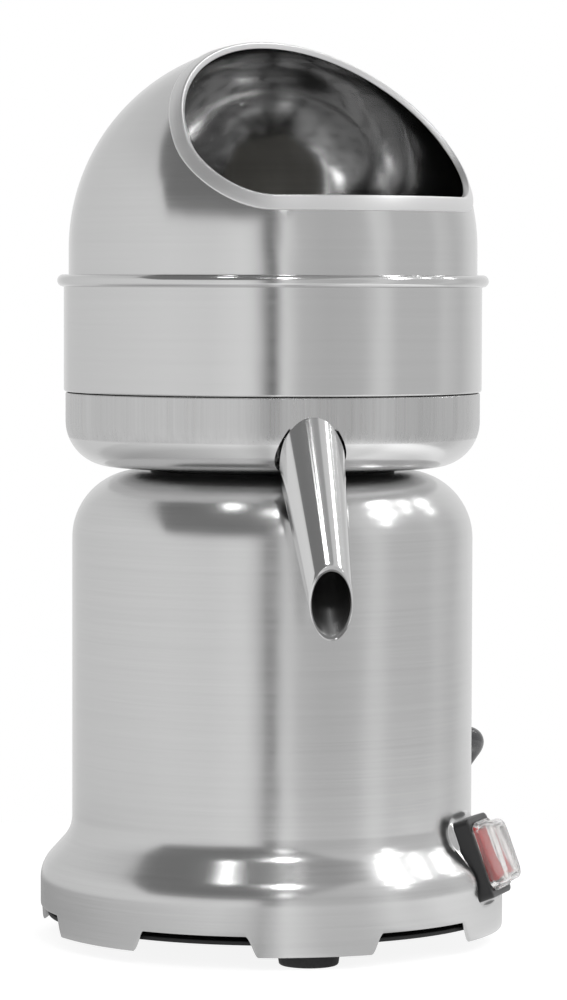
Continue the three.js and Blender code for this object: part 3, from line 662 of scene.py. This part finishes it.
BOOT_CORNER_R = 116.2  # how far out the boot turns
BOOT_TAIL = 26  # its length past that turn
BOOT_BEND = 11  # how far from its corner the bend begins and ends
BOOT_R, BOOT_END_R = 6.6, 4.4


def make_boot():
    """The lead's tapered elbow: out of the body, round, and down along its side."""
    side = at(EXIT_BEARING + 90, 1, 0)
    away = (side * 0.75 + Vector((0, 0, -0.66))).normalized()
    corner = at(EXIT_BEARING, BOOT_CORNER_R, EXIT_Z + 1.2)
    start = at(EXIT_BEARING, 91.5, EXIT_Z)
    turn_in = at(EXIT_BEARING, BOOT_CORNER_R - BOOT_BEND, EXIT_Z + 0.6)
    turn_out = corner + away * BOOT_BEND
    path = [start + (turn_in - start) * i / 6 for i in range(6)]
    path += bezier(turn_in, corner, turn_out, 14)
    end = at(EXIT_BEARING, BOOT_CORNER_R, EXIT_Z) + away * BOOT_TAIL
    path += [turn_out + (end - turn_out) * i / 8 for i in range(1, 9)]
    length = [0.0]
    for a, b in zip(path, path[1:]):
        length.append(length[-1] + (b - a).length)
    radii = []
    for s in length:
        share = s / length[-1]
        r = BOOT_R + (BOOT_END_R - BOOT_R) * smoothstep(share * 0.95)
        if s < 2.2:  # inside the collar
            r = 6.2
        last = length[-1] - s
        if last < 1.2:  # the rounded end
            r -= 0.5 * (1 - last / 1.2)
        radii.append(r)
    build("lead_boot", *tapered_tube(path, radii, 48), BOOT, "base", "cord_strain_relief", "black_rubber")


def make_boot_collar():
    """A flange round the boot, where it leaves the body."""
    centre, ahead = at(EXIT_BEARING, 94.9, EXIT_Z), at(EXIT_BEARING, 1, 0).normalized()
    up = ahead.orthogonal().normalized()
    side = ahead.cross(up)
    outline = [(6.2, -0.8), (9.6, -0.8), (10.2, -0.2), (10.2, 1.0), (9.6, 1.7), (8.0, 2.1), (6.2, 2.1)]
    rings = []
    for a in turns(48):
        out = up * math.cos(a) + side * math.sin(a)
        rings.append([centre + out * r + ahead * d for r, d in outline])
    build("boot_collar", *loops(rings), BOOT, "base", (), "black_rubber")


make_boot()
make_boot_collar()


def make_plug():
    """The plug's body with its ribbed boot, and the pins with bevelled tips."""
    start = Vector(TAIL[-1]) / MM
    ahead = (start - Vector(TAIL[-2]) / MM).normalized()
    ahead = Vector((ahead.x, ahead.y, 0)).normalized()
    side = Vector((ahead.y, -ahead.x, 0))
    place = axes(side, Vector((0, 0, 1)), ahead, start + ahead * 1.2)
    boot_length, steps = 22, 34
    rows = []
    for i in range(steps + 1):
        d = boot_length * i / steps
        r = 4.9 + 2.4 * smoothstep(i / steps)
        if 3 < d < 19:  # the ribs, 4 mm apart
            r -= 0.55 * max(0.0, math.sin(2 * math.pi * (d - 3) / 4)) ** 0.6
        rows.append((2 * r, 2 * r, r, d))
    rows += [(17, 16, 7.5, 22.3), (21, 18.6, 7, 23.2), (24, 20.4, 6.5, 24.5), (26, 21.5, 6, 26.5)]
    rows += [(27, 22, 6, 29), (27, 22, 6, 43.5), (26.4, 21.4, 5.8, 44.6), (25, 20, 5.2, 45.2)]
    shape = capped(ringed(rows, place))
    plug = build("mains_plug", *shape, BLACK, "base", "plug_body", "black_plastic", 50)
    parts = [plug]
    for name in ("plug_blade_1", "plug_blade_2", "plug_earth_pin"):
        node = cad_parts[name]
        keep(node, PINS)
        parts.append(node)
    return parts


plug_parts = make_plug()

# ---- base


def panel_place():
    """The switch panel's own axes: x sideways, y up its slope, z out of it."""
    out, side, up = at(PANEL_BEARING, 1, 0), at(PANEL_BEARING + 90, 1, 0), Vector((0, 0, 1))
    lean = math.radians(PANEL_LEAN)
    normal = out * math.cos(lean) + up * math.sin(lean)
    slope = out * -math.sin(lean) + up * math.cos(lean)
    return axes(side, slope, normal, at(PANEL_BEARING, *PANEL_AT))


PANEL = panel_place()
PANEL_BACK = PANEL.inverted()
PAD_SIZE = (33.6, 41.0, 5.0)  # the pressed flat's width, height and corner
PAD_DEPTH = 0.3
PAD_EDGE = 2.2  # how wide its rounded edge is


def outside_pad(x, y):
    """How far a point of the panel's plane is outside the pad's outline; below nought inside it."""
    w, h, c = PAD_SIZE
    qx, qy = abs(x) - w / 2 + c, abs(y) - h / 2 + c
    return math.hypot(max(qx, 0), max(qy, 0)) + min(max(qx, qy), 0) - c


def pressed(p, thickness):
    """A point of the shell, moved to the panel where the panel is pressed in."""
    if p.x < 20:
        return p
    q = PANEL_BACK @ p
    if q.z < -30:
        return p
    gap = outside_pad(q.x, q.y)
    if gap > PAD_EDGE:
        return p
    share = smoothstep(gap / PAD_EDGE)
    q.z = -(PAD_DEPTH + thickness) * (1 - share) + q.z * share
    return PANEL @ q


def base_line(inset):
    """The base's profile from just above its tabs to the hole for the shaft."""
    slope = 42  # the flare's steepest lean, between two round bends
    lean = math.radians(slope)
    out_r, in_r = 17.0, 16.5
    skirt_top, body_start, row = 28.5, 68, 0.8
    shoulder = (BODY_R - SHOULDER_R, TOP_Z - SHOULDER_R)
    run = SKIRT_R - BODY_R - (out_r + in_r) * (1 - math.cos(lean))
    body_z = skirt_top + (out_r + in_r) * math.sin(lean) + run * math.cos(lean) / math.sin(lean)
    line = [(SKIRT_R - inset, SKIRT_Z + 0.7 * i) for i in range(12)]
    line += arc(SKIRT_R - out_r, skirt_top, out_r - inset, 0, slope, 22)
    line += arc(BODY_R + in_r, body_z, in_r + inset, 180 + slope, 180, 22)
    z = body_z + row
    while z < body_start:
        line.append((BODY_R - inset, z))
        z += row
    height = shoulder[1] - body_start
    line += [(BODY_R - inset, body_start + height * i / 24) for i in range(1, 24)]
    line += arc(*shoulder, SHOULDER_R - inset, 0, 90, 30)
    flat = SHAFT_HOLE_R - shoulder[0]
    line += [(shoulder[0] + flat * i / 10, TOP_Z - inset) for i in range(1, 11)]
    return line


def arch_edge(bearing):
    """The skirt's lower edge: six tabs, with round-cornered arches between them."""
    off = abs((bearing % 60) - 30)
    return ARCH_Z - (ARCH_Z - TAB_Z) * smoothstep((off - 13.0) / 3.2)


def make_base():
    """The shell, ring by ring, with the rings closer at the tabs' sides and the switch."""
    bearings = {round(i * 1.5, 3) for i in range(240)}
    for k in range(TABS):
        for edge in (-17.2, 12.2):
            bearings |= {round((30 + 60 * k + edge + 0.25 * i) % 360, 3) for i in range(21)}
    bearings |= {round(PANEL_BEARING - 13 + 0.2 * i, 3) for i in range(131)}
    outer, inner = base_line(0.0), base_line(SHEET)
    rings = []
    for b in sorted(bearings):
        edge = arch_edge(b)
        rows = [edge + (SKIRT_Z - edge) * (1 - (1 - i / 14) ** 1.3) for i in range(14)]
        ring = []
        for r, z in reversed(outer):
            ring.append(pressed(at(b, r, z), 0.0))
        for z in reversed(rows):
            ring.append(pressed(at(b, SKIRT_R - 0.35 * math.exp(-(z - edge) / 0.5), z), 0.0))
        for i in range(1, 4):  # the rounded lower edge
            t = math.radians(-180 * i / 4)
            ring.append(at(b, SKIRT_R - 0.8 + 0.65 * math.cos(t), edge + 0.65 * math.sin(t) + 0.5))
        for z in rows:
            ring.append(pressed(at(b, SKIRT_R - SHEET, z + 0.2), SHEET))
        for r, z in inner:
            ring.append(pressed(at(b, r, z), SHEET))
        rings.append(ring)
    points, faces = loops(rings)
    kept = []
    for face in faces:
        centre = sum((points[i] for i in face), Vector()) / len(face)
        q = PANEL_BACK @ centre
        in_switch_hole = abs(q.x) < 13.4 and abs(q.y) < 16.9 and -6 < q.z < 4
        if not in_switch_hole:
            kept.append(face)
    build("base_shell", points, kept, STEEL, "base", "base_housing", "brushed_steel", 60)


make_base()


def make_underside():
    """The bottom cover with its six vents, and the three feet."""
    plate = fillet([(0.01, 11, 0), (106.5, 11, 0.5), (106.5, 13, 0.5), (0.01, 13, 0)], 3)
    cover = lathe("base_cover", plate, sides=160)
    for k in range(TABS):
        bearing = 60 * k + 30
        turn = Matrix.Translation(at(bearing, 42, 12)) @ Matrix.Rotation(math.radians(bearing), 4, "Z")
        vent = capped(ringed([(5, 34, 2.5, -4), (5, 34, 2.5, 4)], turn, 6))
        cut(cover, build("vent", *vent))
    dress(cover, COVER, 30)
    ride(cover, "base", "bottom_cover")
    outline = [(5.4, 0.0, 0.5), (13.6, 0.0, 1.2), (14.6, 7.4, 0.8), (15.0, 7.8, 0.4)]
    outline += [(15.0, 10.7, 0.5), (2.9, 10.7, 0.0), (2.9, 4.0, 0.0), (5.4, 4.0, 0.3)]
    outline = fillet(outline, 4)
    for k in range(1, 4):
        x, y, _ = at(120 * (k - 1), FOOT_AT, 0)
        lathe(f"rubber_foot_{k}", outline, FOOT, "base", f"foot_{k}", "black_rubber", 64, x, y)


make_underside()

# ---- juice bowl and spout


def spout_point(s, turn, inset):
    """The point of the spout's skin s down its axis and turned about it, inset from the outside."""
    out = Vector((math.cos(turn), 0, 0)) + SPOUT_UP * math.sin(turn)
    return SPOUT_ROOT + SPOUT_DOWN * s + out * (SPOUT_R - inset - SPOUT_TAPER * s)


def spout_reach(turn, inset, done, s0, s1):
    """How far down the spout a line of it goes before done is true of its point."""
    for _ in range(40):
        middle = (s0 + s1) / 2
        if done(spout_point(middle, turn, inset)):
            s1 = middle
        else:
            s0 = middle
    return s1


def make_spout():
    """A tapered tube from the bowl's wall to an upright mouth."""
    sides, steps = 128, 40
    rings = []
    for turn in turns(sides):
        ring = []
        ends = []
        for inset in (0.0, THIN_SHEET):
            root = spout_reach(turn, inset, lambda p: math.hypot(p.x, p.y) > BOWL_R - 0.5, -30, 60)
            mouth = spout_reach(turn, inset, lambda p: p.y < -140.1, 40, 140)
            ends.append((root, mouth))
        (root, mouth), (inner_root, inner_mouth) = ends
        lip = 0.9
        for k in range(steps + 1):
            ring.append(spout_point(root + (mouth - lip - root) * k / steps, turn, 0.0))
        for end, back, inset in (
            (mouth, 0.35, 0.1), (mouth, 0.05, 0.4), (inner_mouth, 0.05, 0.8), (inner_mouth, 0.35, 1.1)
        ):
            ring.append(spout_point(end - back, turn, inset))
        for k in range(steps + 1):
            s = inner_mouth - lip + (inner_root - inner_mouth + lip) * k / steps
            ring.append(spout_point(s, turn, THIN_SHEET))
        rings.append(ring)
    build("pour_spout", *loops(rings), BRIGHT, "bowl", "spout", "polished_steel", 50)


def cone_tool(inset, s0, s1, sides=96):
    """The spout's own cone between two points of its axis, to cut its hole in the bowl."""
    rings = [[spout_point(s, turn, inset) for turn in turns(sides)] for s in (s0, s1)]
    return build("tool", *capped(rings))


def bowl_normal(p):
    """The bowl's exact normal, on its wall, its round lower edge and its floor."""
    r = math.hypot(p.x, p.y)
    if r < 30:
        return None
    if p.z >= BOWL_CORNER.y:
        return Vector((p.x / r, p.y / r, 0))
    out, up = r - BOWL_CORNER.x, p.z - BOWL_CORNER.y
    if out <= 0:
        return Vector((0, 0, -1))
    n = Vector((p.x / r * out, p.y / r * out, up))
    return n.normalized()


def make_bowl():
    """Floor, round lower edge, wall with its lip and the ledge for the strainer, and the chimney."""
    wall = BOWL_R - THIN_SHEET
    outline = [(12.3, 224.0), (40, 224.0), (60, 224.0)]
    outline += arc(*BOWL_CORNER, BOWL_CORNER_R, -90, 0, 32)
    outline += [(BOWL_R, 248), (BOWL_R, 251), (BOWL_R, 254.5), (BOWL_R, 258.3), (97.9, 258.7)]
    outline += [(97.5, 258.8), (wall, 258.8), (wall, 254), (wall, 249.8), (92.9, 249.8)]
    outline += [(92.5, 249.5), (92.5, 248.9), (92.9, 248.6), (wall, 248.6)]
    outline += arc(*BOWL_CORNER, BOWL_CORNER_R - THIN_SHEET, 0, -90, 24)
    outline += [(40, 225.2), (16.5, 225.2), (14.4, 226.0), (13.5, 228.0), (13.5, 245.4), (12.9, 246)]
    outline += [(12.3, 245.4), (12.3, 235)]
    bowl = lathe("bowl_shell", outline, sides=256)
    cut(bowl, cone_tool(-0.75, 2, 45))
    dress(bowl, STEEL_BOWL, 40, weld=False)
    set_normals(bowl, bowl_normal)
    ride(bowl, "bowl", "juice_bowl")


make_bowl()
make_spout()

seat = fillet([(50, 222.3, 0.4), (58, 222.3, 0.4), (58, 223.7, 0.5), (50, 223.7, 0.5)], 3)
lathe("bowl_seat", seat, RUBBER, "base", "bowl_seat_ring", "black_rubber", 128)

# ---- strainer, ring and hood


def make_strainer():
    """A plate with a turned-up rim and four rows of slots, round the hub's collar."""
    outline = [(18, 250.1), (60, 250.1), (93.4, 250.1), (94.0, 250.4), (94.2, 251), (94.2, 256.4)]
    outline += [(93.9, 256.9), (93.3, 256.9), (93.0, 256.4), (93.0, 251.7), (92.6, 251.3)]
    outline += [(60, 251.3), (20.4, 251.3), (19.4, 251.9), (19.2, 254.6), (18.9, 255.2)]
    outline += [(18.3, 255.2), (18.0, 254.6)]
    strainer = lathe("strainer_plate", outline)
    rings_of_slots = ((32, 10, 10), (47, 12, 16), (63, 14, 24), (80, 14, 32))  # radius, length, count
    points, faces = [], []
    for r, length, count in rings_of_slots:
        for k in range(count):
            bearing = 360 * k / count
            turn = Matrix.Rotation(math.radians(bearing), 4, "Z")
            turn = Matrix.Translation(at(bearing, r, 250.7)) @ turn
            block = capped(ringed([(3.0, length, 1.5, -3), (3.0, length, 1.5, 3)], turn, 5))
            faces += [tuple(i + len(points) for i in face) for face in block[1]]
            points += block[0]
    cut(strainer, build("slots", points, faces))
    dress(strainer, SATIN, 35)
    ride(strainer, "strainer", "strainer")


make_strainer()


def make_ring():
    """An upright wall with a curled rim above, and a step below that sits in the bowl."""
    outline = [(96.2, 253.1), (96.2, 258.7), (96.7, 259.2), (97.8, 259.2)]
    outline += [(98.3, 259.32), (98.7, 259.65), (98.95, 260.15), (99.0, 260.8)]
    outline += [(99.0, 260.8 + (308.6 - 260.8) * i / 12) for i in range(1, 13)]
    outline += arc(99.25, 311.6, 2.85, -62, 205, 40)
    outline += [(97.8, 309.4), (97.8, 300), (97.8, 280), (97.8, 262), (97.4, 261), (96.4, 260.4)]
    outline += [(95.4, 260.0), (95.2, 259.4), (95.2, 253.1), (95.7, 252.8)]
    lathe("ring_shell", outline, SATIN, "ring", "splash_ring", "polished_steel", 256, sharp=40)


make_ring()


def opening_path():
    """Points round the hood's opening, on its outside, in the hood's own turn."""
    w, sill, corner = 74.6, 349.8, 22.0  # half its width, its lower edge and that edge's corners
    flat = arc(corner - w, sill + corner, corner, 180, 270, 16)
    flat += [((w - corner) * (i / 20 * 2 - 1), sill) for i in range(1, 20)]
    flat += arc(w - corner, sill + corner, corner, 270, 360, 16)
    path = []
    for x, z in flat:
        y = -math.sqrt(HOOD_R**2 - x * x - (z - DOME.z) ** 2)
        path.append(Vector((x, y, z)))
    radius = math.sqrt(HOOD_R**2 - OPENING_AT**2)
    middle = DOME + OPENING_N * OPENING_AT
    up = Vector((0, OPENING_N.z, -OPENING_N.y))
    start, steps = 5.8, 96  # the arch starts a little above the plane's level
    for i in range(1, steps):
        t = math.radians(start + (180 - 2 * start) * i / steps)
        path.append(middle + Vector((radius * math.cos(t), 0, 0)) + up * radius * math.sin(t))
    return path


def opening_tool():
    """A wedge from inside the dome to outside it, to cut the opening."""
    path = opening_path()
    rings = [[HOOD_TURN @ (DOME + (p - DOME) * far) for p in path] for far in (0.5, 1.5)]
    return build("tool", *capped(rings))


def hood_normal(p):
    if p.z >= DOME.z:
        return (p - DOME).normalized()
    return Vector((p.x, p.y, 0)).normalized()


def make_hood():
    """A straight wall under half a sphere, with the opening cut out of it."""
    inside = HOOD_R - THIN_SHEET
    outline = [(95.5, 261.3), (95.9, 260.9), (96.4, 261.0), (96.7, 261.4)]
    outline += [(96.7, 262 + (326 - 262) * i / 12) for i in range(13)]
    outline += arc(0, DOME.z, HOOD_R, 0, 89.9, 110)
    outline += list(reversed(arc(0, DOME.z, inside, 0, 89.9, 80)))
    outline += [(inside, 326 - (326 - 262) * i / 8) for i in range(9)]
    hood = lathe("hood_shell", outline, sides=256)
    cut(hood, opening_tool())
    dress(hood, HOOD_STEEL, 30, weld=False)
    set_normals(hood, hood_normal)
    ride(hood, "hood", "hood")


make_hood()


def make_trim():
    """A bright strip folded over the opening's edge."""
    path = opening_path()
    section = [(-0.9, -2.1, 0.45), (-0.9, 1.1, 0.9), (6.2, 1.1, 0.9)]
    section = fillet(section + [(6.2, 0.04, 0.0), (-0.1, 0.04, 0.0), (-0.1, -2.1, 0.3)], 6)
    rings = []
    count = len(path)
    for i, p in enumerate(path):
        ahead = (path[(i + 1) % count] - path[i - 1]).normalized()
        n = (p - DOME).normalized()
        away = ahead.cross(n).normalized()
        if away.dot(OPENING_N) > 0:
            away = -away
        ring = []
        for across, rise in section:
            ray = (p + away * across - DOME).normalized()
            ring.append(HOOD_TURN @ (DOME + ray * (HOOD_R + rise)))
        rings.append(ring)
    build("opening_trim", *loops(rings), TRIM, "hood", "hood_opening_trim", "polished_steel", 60)


make_trim()

# ---- reamer


def make_reamer():
    """The hub on the shaft, and the fluted cone that pushes on to it."""
    outline = [(6.6, 258, 0), (30, 258, 0.6), (30, 260.5, 0.8), (11.5, 262, 1.5), (10.5, 287, 0.5)]
    outline += [(7.5, 290, 0.8), (0.01, 290, 0), (0.01, 285.6, 0), (6.6, 285.6, 0)]
    outline = fillet(outline, 4)
    lathe("reamer_base", outline, WHITE, "hub", "reamer_hub", "white_plastic", 96)
    sides, steps = 192, 60
    bore, foot, inside, top = 11.8, 262.4, 292, 336
    rings = []
    for a in turns(sides):
        flute = 1 - 0.14 * (0.5 - 0.5 * math.cos(8 * a)) ** 0.7
        out = Vector((math.cos(a), math.sin(a), 0))
        ring = [out * bore + Vector((0, 0, foot))]
        for k in range(steps + 1):
            t = min(k / steps, 0.9995)
            r = 37 * (1 - t**1.9) ** 0.8 * flute
            if k == 0:
                r -= 0.5
            ring.append(out * r + Vector((0, 0, foot + (top - foot) * t)))
        for r, z in ((0.005, top), (0.005, inside), (bore, inside)):
            ring.append(out * r + Vector((0, 0, z)))
        rings.append(ring)
    build("reamer_head", *loops(rings), WHITE, "reamer", "reamer_cone", "white_plastic", 50)


make_reamer()

# ---- switch


def make_switch():
    """Its frame, soft clear cover and rocker, in (width, height, corner, z) rows on the panel."""
    rim = [(32, 39, 3, -0.8), (32, 39, 3, 2.0), (31.8, 38.8, 3, 5.9), (31.4, 38.4, 2.9, 6.5)]
    rim += [(30.6, 37.6, 2.6, 6.8), (24.3, 31.8, 1.6, 6.8), (23.2, 30.7, 1.4, 6.4)]
    rim += [(22.5, 30, 1.2, 5.4), (22.5, 30, 1.2, 2.0), (22.5, 30, 1.2, -0.8)]
    shape = loops(ringed(rim, PANEL))
    build("switch_bezel", *shape, FRAME_PLASTIC, "base", "switch_frame", "black_plastic", 40)

    cover = [(17, 23, 4.2, 14.95), (19.5, 25.5, 4.6, 14.4), (20.9, 27, 4.6, 13.0)]
    cover += [(21.4, 27.6, 4.2, 9.4), (21.5, 27.7, 4, 7.1), (26.4, 32.4, 4.2, 7.1), (27, 33, 4.5, 7.5)]
    cover += [(27, 33, 4.5, 8.4), (26.5, 32.5, 4.4, 8.8), (25.2, 31.2, 4.6, 9.0), (24.4, 30.4, 5, 9.6)]
    cover += [(24, 30, 5.2, 10.6), (23.6, 29.6, 5.4, 13.4), (22.8, 28.8, 5.6, 14.9)]
    cover += [(21.2, 27.2, 5.4, 15.8), (18.4, 24.4, 5, 16.08)]
    build("switch_boot", *capped(ringed(cover, PANEL)), CLEAR, "base", "switch_cover", "clear_cover", 60)

    h, foot, rise, dip, half, pivot, tilted = 12.9, 4.4, 9.4, 8.0, 9.8, 2, -7
    side = [(-h, foot), (0, 1.0), (h, foot)]
    side += [(h * (1 - 2 * i / 16), dip + (rise - dip) * (1 - 2 * i / 16) ** 2) for i in range(17)]
    tilt = Matrix.Translation((0, 0, pivot)) @ Matrix.Rotation(math.radians(tilted), 4, "X")
    place = PANEL @ tilt @ Matrix.Translation((0, 0, -pivot))
    rings = [[place @ Vector((x, y, z)) for y, z in side] for x in (-half, half)]
    rocker = build("rocker_cap", *capped(rings), RED, "rocker", "switch_rocker", "red_plastic", 25)
    bevel(rocker, 0.9, 4, 25)


make_switch()

# ---- CAD nodes that stay

# Material, slot and what the nodes' names start with.
KEPT = (
    (BLACK, "black_plastic", ("switch_body", "cooling_fan")),
    (RUBBER, "black_rubber", ("shaft_seal",)),
    (ALLOY, "alloy", ("drive_shaft", "motor_upper_bracket", "motor_lower_bracket")),
    (SCREW, "screw_steel", ("drive_pin", "upper_bearing", "lower_bearing", "motor_bolt")),
    (SCREW, "screw_steel", ("motor_standoff", "foot_screw", "cover_screw")),
    (LAMINATIONS, "laminations", ("motor_stator", "motor_rotor")),
    (COPPER, "copper", ("upper_winding", "lower_winding")),
    (CAN, "white_plastic", ("run_capacitor",)),
    (WHITE, "white_plastic", ("terminal_block",)),
)
for material, slot_name, starts in KEPT:
    for name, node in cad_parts.items():
        if name.startswith(starts):
            keep(node, material)
            bevel(node, 0.35, 2, 40)

# ---- floor, light and surroundings


def fill_ramp(ramp, stops):
    """A ramp over a whole turn from (degrees, brightness) pairs; nought degrees is in its middle."""
    while len(ramp.elements) > 1:
        ramp.elements.remove(ramp.elements[-1])
    ramp.elements[0].position = 0.0
    ramp.elements[0].color = (stops[0][1],) * 3 + (1,)
    for angle, value in stops[1:]:
        ramp.elements.new((angle + 180) / 360).color = (value,) * 3 + (1,)


# How bright the floor is in the steel, by turn from the camera (+ to its right).
FLOOR_SHINE = (
    (-180, 0.45), (-125, 0.38), (-90, 0.46), (-50, 0.58), (-20, 0.72), (-10, 0.62), (-4, 0.48),
    (0, 0.66), (4, 0.90), (9, 0.80), (18, 0.64), (36, 0.62), (49, 0.84), (62, 0.78), (75, 0.94),
    (90, 0.88), (110, 0.76), (180, 0.45),
)


def make_floor():
    """A pale plain disc, which the camera sees lit evenly."""
    mesh = bpy.data.meshes.new("floor")
    sides, radius = 96, 0.44
    ring = [(radius * math.cos(t), radius * math.sin(t), 0) for t in turns(sides)]
    mesh.from_pydata(ring, [], [tuple(range(sides))])
    floor = add_object("floor", mesh)
    s = Shader(
        "floor",
        base_color=grey(0.35),
        roughness=0.9,
        specular_ior_level=0.0,
        emission_color=grey(1),
        emission_strength=0.88,
    )
    x, y, _ = s.parts()
    turn = s.math("ARCTAN2", x, s.math("MULTIPLY", y, -1.0))
    share = s.math("MULTIPLY_ADD", turn, 0.5 / math.pi, 0.5 - VIEW_BEARING / 360)
    shine = s.node("ShaderNodeValToRGB", {"Fac": s.math("FRACT", share)})
    fill_ramp(shine.color_ramp, FLOOR_SHINE)
    more = s.span(s.length(s.place((1, 1, 0))), 0.25, 0.36, 1.0, 1.4)
    dull = s.node("ShaderNodeEmission", {"Color": shine.outputs["Color"], "Strength": more}).outputs[0]
    light = s.node("ShaderNodeLightPath")
    seen = s.math("MAXIMUM", light.outputs["Is Camera Ray"], light.outputs["Is Transmission Ray"])
    both = s.node("ShaderNodeMixShader", {0: seen, 1: dull, 2: s.bsdf.outputs[0]})
    s.tree.links.new(both.outputs[0], s.out.inputs["Surface"])
    mesh.materials.append(s.material)


make_floor()

# How bright the walls are in the steel, by the same turn.
ROOM = (
    (-180, 0.84), (-150, 0.69), (-120, 0.74), (-60, 0.82), (-34, 0.80), (-16, 0.88), (-11, 0.84),
    (-7, 0.64), (-3, 0.30), (0, 0.10), (3, 0.52), (6, 0.90), (10, 0.78), (15, 0.60), (30, 0.55),
    (50, 0.58), (60, 0.80), (65, 0.76), (72, 0.61), (100, 0.61), (108, 0.70), (125, 0.60),
    (145, 0.78), (180, 0.84),
)


def make_room():
    """White to the camera; in the steel, pale walls under a ceiling with a dark part."""
    world = bpy.data.worlds.new("room")
    scene.world = world
    world.use_nodes = True
    tree = world.node_tree
    tree.nodes.clear()

    def node(kind, inputs=(), **settings):
        return add_node(tree, kind, inputs, **settings)

    def sums(operation, a, b=0.0):
        return node("ShaderNodeMath", {0: a, 1: b}, operation=operation).outputs[0]

    ray = node("ShaderNodeTexCoord").outputs["Generated"]
    to_camera = {"Vector": ray, "Angle": math.radians(-VIEW_BEARING)}
    turn = node("ShaderNodeVectorRotate", to_camera, rotation_type="Z_AXIS").outputs[0]
    parts = node("ShaderNodeSeparateXYZ", {"Vector": turn})
    front = sums("MULTIPLY", parts.outputs["Y"], -1.0)
    azimuth = sums("ARCTAN2", parts.outputs["X"], front)
    place = sums("ADD", sums("DIVIDE", azimuth, 2 * math.pi), 0.5)
    ramp = node("ShaderNodeValToRGB", {"Fac": place})
    fill_ramp(ramp.color_ramp, ROOM)

    def ease(value, start, end):
        limits = {"Value": value, "From Min": start, "From Max": end}
        return node("ShaderNodeMapRange", limits, interpolation_type="SMOOTHSTEP").outputs["Result"]

    def over(share, below, colour):
        return node("ShaderNodeMix", {0: share, 6: below, 7: grey(colour)}, data_type="RGBA").outputs[2]

    up = sums("MAXIMUM", parts.outputs["Z"], 0.02)
    across = sums("DIVIDE", parts.outputs["X"], up)
    ahead = sums("DIVIDE", front, up)
    # the ceiling: paler all over, with a dark part above and to the left of the camera
    pale = over(ease(parts.outputs["Z"], 0.35, 0.75), ramp.outputs["Color"], 0.66)
    left = ease(across, 0.14, 0.02)
    middle = ease(across, 0.62, 0.50)
    near = ease(sums("ADD", ahead, sums("MULTIPLY", across, 0.8)), -1.02, -0.84)
    raised = ease(parts.outputs["Z"], 0.23, 0.38)
    dark = sums("MULTIPLY", sums("MULTIPLY", left, near), raised)
    dim = sums("MULTIPLY", sums("MULTIPLY", middle, near), raised)
    shaded = over(dark, over(dim, pale, 0.36), 0.20)
    around = node("ShaderNodeBackground", {"Color": shaded, "Strength": 1.0})
    blank = node("ShaderNodeBackground", {"Color": grey(1), "Strength": 1.0})
    path = node("ShaderNodeLightPath")
    seen = sums("MAXIMUM", path.outputs["Is Camera Ray"], path.outputs["Is Transmission Ray"])
    choice = node("ShaderNodeMixShader", {0: seen, 1: around.outputs[0], 2: blank.outputs[0]})
    node("ShaderNodeOutputWorld", {"Surface": choice.outputs[0]})


make_room()


CEILING = 2.4
# To the camera's right, towards it, width and length, in ceiling heights; then brightness.
LAMPS = (
    (-0.28, 0.32, 0.07, 0.11, 12),
    (0.11, 0.62, 0.11, 0.12, 26),
    (0.21, 1.75, 0.12, 0.80, 3.4),
    (0.72, -0.10, 0.10, 0.14, 20),
    (1.08, 0.14, 0.28, 0.24, 8),
    (0.93, -0.38, 0.07, 0.12, 12),
    (1.20, -0.27, 0.10, 0.10, 10),
    (1.13, -0.78, 0.16, 0.16, 13),
    (1.60, -0.90, 0.20, 0.20, 6),
    (1.60, 0.45, 0.20, 0.20, 6),
    (-0.06, 0.60, 0.04, 0.10, 6),
)


def make_lamp(name, across, ahead, width, length, glow):
    """A flat light in the ceiling, facing down."""
    data = bpy.data.lights.new(name, "AREA")
    data.shape = "RECTANGLE"
    data.size, data.size_y = width * CEILING, length * CEILING
    data.energy = glow * math.pi * data.size * data.size_y
    a = math.radians(VIEW_BEARING)
    right = Vector((math.cos(a), math.sin(a), 0))
    toward = Vector((math.sin(a), -math.cos(a), 0))
    spot = AXIS + (right * across + toward * ahead + Vector((0, 0, 1))) * CEILING
    add_object(name, data, spot).rotation_euler = (0, 0, a)


for number, row in enumerate(LAMPS, 1):
    make_lamp(f"lamp_{number}", *row)

scene.view_settings.view_transform = "Standard"
scene.view_settings.look = "None"

bpy.context.view_layer.update()
